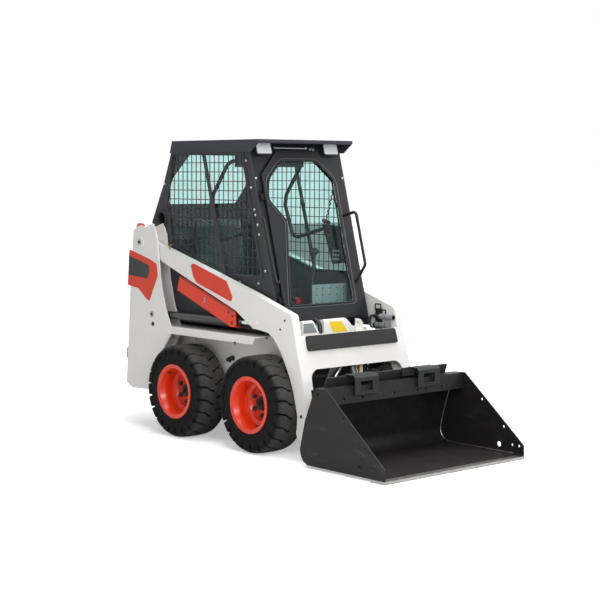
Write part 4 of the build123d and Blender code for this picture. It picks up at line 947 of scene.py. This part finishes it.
# seat: a cushion and a back, each blown up a little as a stitched cover over foam
seatSettings = {
    "cushionLow": (-205, 392, 896), "cushionHigh": (205, 770, 962),
    "backLow": (-195, 775, 960), "backHigh": (195, 838, 1345), "backLean": -9,
    "corner": 45, "fill": 0.8,
    "voxel": 0.006, "quickVoxel": 0.012, "smoothing": 0.7, "smoothRounds": 14,
    "pressure": 4.0, "frames": 20, "cap": 0.010,
    "pipingLow": (-207, 390, 948), "pipingHigh": (207, 772, 948), "pipingRadius": 3,
}


def applyModifiers(piece):  # bakes what the modifiers give into the mesh
    depsgraph = bpy.context.evaluated_depsgraph_get()
    baked = bpy.data.meshes.new_from_object(piece.evaluated_get(depsgraph))
    old = piece.data
    piece.modifiers.clear()
    piece.data = baked
    bpy.data.meshes.remove(old)


def inflate(piece):  # cloth under pressure, held to a few millimetres of travel
    start = [vertex.co.copy() for vertex in piece.data.vertices]
    cloth = piece.modifiers.new("cover", "CLOTH")
    cloth.settings.use_pressure = True
    cloth.settings.uniform_pressure_force = seatSettings["pressure"]
    cloth.settings.effector_weights.gravity = 0
    cloth.settings.quality = 4
    for frameNumber in range(1, seatSettings["frames"] + 1):
        bpy.context.scene.frame_set(frameNumber)
    applyModifiers(piece)
    bpy.context.scene.frame_set(1)
    for vertex, first in zip(piece.data.vertices, start):
        travel = vertex.co - first
        if travel.length > seatSettings["cap"]:
            vertex.co = first + travel.normalized() * seatSettings["cap"]


def paddedBlock(name, low, high, leanDegrees):
    shape = prism(boxLoop(low, high, seatSettings["corner"]), (0, 0, 1), high[2] - low[2])
    piece = newPiece(name, shape, vinylSeat, "chassis", 60)
    if leanDegrees:
        foot = Vector((0, low[1] / 1000, low[2] / 1000))
        lean = Matrix.Rotation(radians(leanDegrees), 4, "X")
        piece.data.transform(Matrix.Translation(foot) @ lean @ Matrix.Translation(-foot))
    remesh = piece.modifiers.new("evenMesh", "REMESH")
    remesh.mode = "VOXEL"
    remesh.voxel_size = seatSettings["voxel"]
    rounding = piece.modifiers.new("softCorners", "SMOOTH")
    rounding.factor = seatSettings["smoothing"]
    rounding.iterations = seatSettings["smoothRounds"]
    applyModifiers(piece)
    inflate(piece)
    smooth = piece.modifiers.new("smoothCover", "SUBSURF")
    smooth.levels = smooth.render_levels = 1
    applyModifiers(piece)
    piece.data.shade_smooth()
    return piece


s = seatSettings
cushion = paddedBlock("seatCushion", s["cushionLow"], s["cushionHigh"], 0)
back = paddedBlock("seatBack", s["backLow"], s["backHigh"], s["backLean"])
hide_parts("seat")
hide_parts("seat")
piping = boxLoop(s["pipingLow"], s["pipingHigh"], s["corner"])
tubeAlong("cushionSeam", piping, s["pipingRadius"], vinylSeat, "chassis", closed=True)
print("seat made")

# camera
cameraSettings = {
    "lens": 90.16, "sensor": 36.0, "place": (-6.010, -6.771, 1.625), "heading": -41.37, "pitch": 85.18,
    "roll": 0.11,
}
v = cameraSettings
camera = bpy.data.cameras.new("viewCamera")
camera.lens = v["lens"]
camera.sensor_width = v["sensor"]
viewpoint = bpy.data.objects.new("viewCamera", camera)
heading, pitch, roll = (
    Matrix.Rotation(radians(v[key]), 4, axis)
    for key, axis in (("heading", "Z"), ("pitch", "X"), ("roll", "Z"))
)
viewpoint.matrix_world = Matrix.Translation(v["place"]) @ heading @ pitch @ roll
bpy.context.collection.objects.link(viewpoint)
bpy.context.scene.camera = viewpoint

# lights: name, place, aimed at, size, power in watts
lightSettings = (
    ("keyLight", (-2.0, -3.5, 2.3), (0, -0.2, 0.6), 2.0, 92),
    ("fillLight", (5.6, -1.6, 3.6), (0, 0, 0.8), 3.0, 100),
    ("topLight", (0.3, -0.6, 6.0), (0, 0, 0), 4.5, 260),
    ("backLight", (2.5, 6.0, 4.5), (0, 0, 0.8), 4.0, 120),
)
for lightName, place, aim, size, power in lightSettings:
    lamp = bpy.data.lights.new(lightName, "AREA")
    lamp.shape = "DISK"
    lamp.size = size
    lamp.energy = power
    holder = bpy.data.objects.new(lightName, lamp)
    holder.location = place
    holder.rotation_euler = (Vector(aim) - Vector(place)).to_track_quat("-Z", "Y").to_euler()
    bpy.context.collection.objects.link(holder)

# world: full white where it is seen, mirrored or seen through glass, softer as a light
world = bpy.data.worlds.new("studioWorld")
bpy.context.scene.world = world
world.use_nodes = True
sky = world.node_tree
sky.nodes.clear()
rays = addNode(sky, "LightPath")
seenDirect = addNode(
    sky, "Math", None, {0: rays.outputs["Is Camera Ray"], 1: rays.outputs["Is Glossy Ray"]},
    operation="MAXIMUM",
)
seenAtAll = addNode(
    sky, "Math", None, {0: seenDirect, 1: rays.outputs["Is Transmission Ray"]}, operation="MAXIMUM"
)
strength = addNode(sky, "MapRange", {"To Min": 0.4, "To Max": 1.0}, {"Value": seenAtAll})
background = addNode(sky, "Background", {"Color": (1, 1, 1, 1)}, {"Strength": strength})
addNode(sky, "OutputWorld", None, {"Surface": background})

# floor: matt white paper that fades to plain white away from the machine, and keeps the shadow near it
floorSettings = {"half": 30, "drop": 0.0015, "fadeFrom": 1.5, "fadeTo": 3.6, "nearLift": 0.4}
floorMaterial, floorTree, floorSpot = newMaterial("floorPaperWhite")
floorRays = addNode(floorTree, "LightPath")
paper = addNode(floorTree, "BsdfDiffuse", {"Color": (0.8, 0.8, 0.8, 1), "Roughness": 0.5})
fromMiddle = addNode(floorTree, "VectorMath", None, {0: floorSpot}, operation="LENGTH")
fade = {
    "From Min": floorSettings["fadeFrom"], "From Max": floorSettings["fadeTo"],
    "To Min": floorSettings["nearLift"], "To Max": 1.0,
}
farWhite = addNode(floorTree, "MapRange", fade, {"Value": fromMiddle.outputs["Value"]})
lift = addNode(floorTree, "Emission", {"Color": (1, 1, 1, 1)}, {"Strength": farWhite})
both = addNode(floorTree, "AddShader", None, {0: paper, 1: lift})
shown = addNode(floorTree, "MixShader", None, {0: floorRays.outputs["Is Camera Ray"], 1: paper, 2: both})
addNode(floorTree, "OutputMaterial", None, {"Surface": shown})
half, drop = floorSettings["half"], floorSettings["drop"]
floorMesh = bpy.data.meshes.new("floorSheet")
floorMesh.from_pydata(
    [(-half, -half, -drop), (half, -half, -drop), (half, half, -drop), (-half, half, -drop)], [],
    [(0, 1, 2, 3)],
)
floorMesh.materials.append(floorMaterial)
floorSheet = bpy.data.objects.new("floorSheet", floorMesh)
bpy.context.collection.objects.link(floorSheet)
bpy.context.scene.view_settings.view_transform = "Standard"
print("camera, lights and floor placed")

print("scene finished")
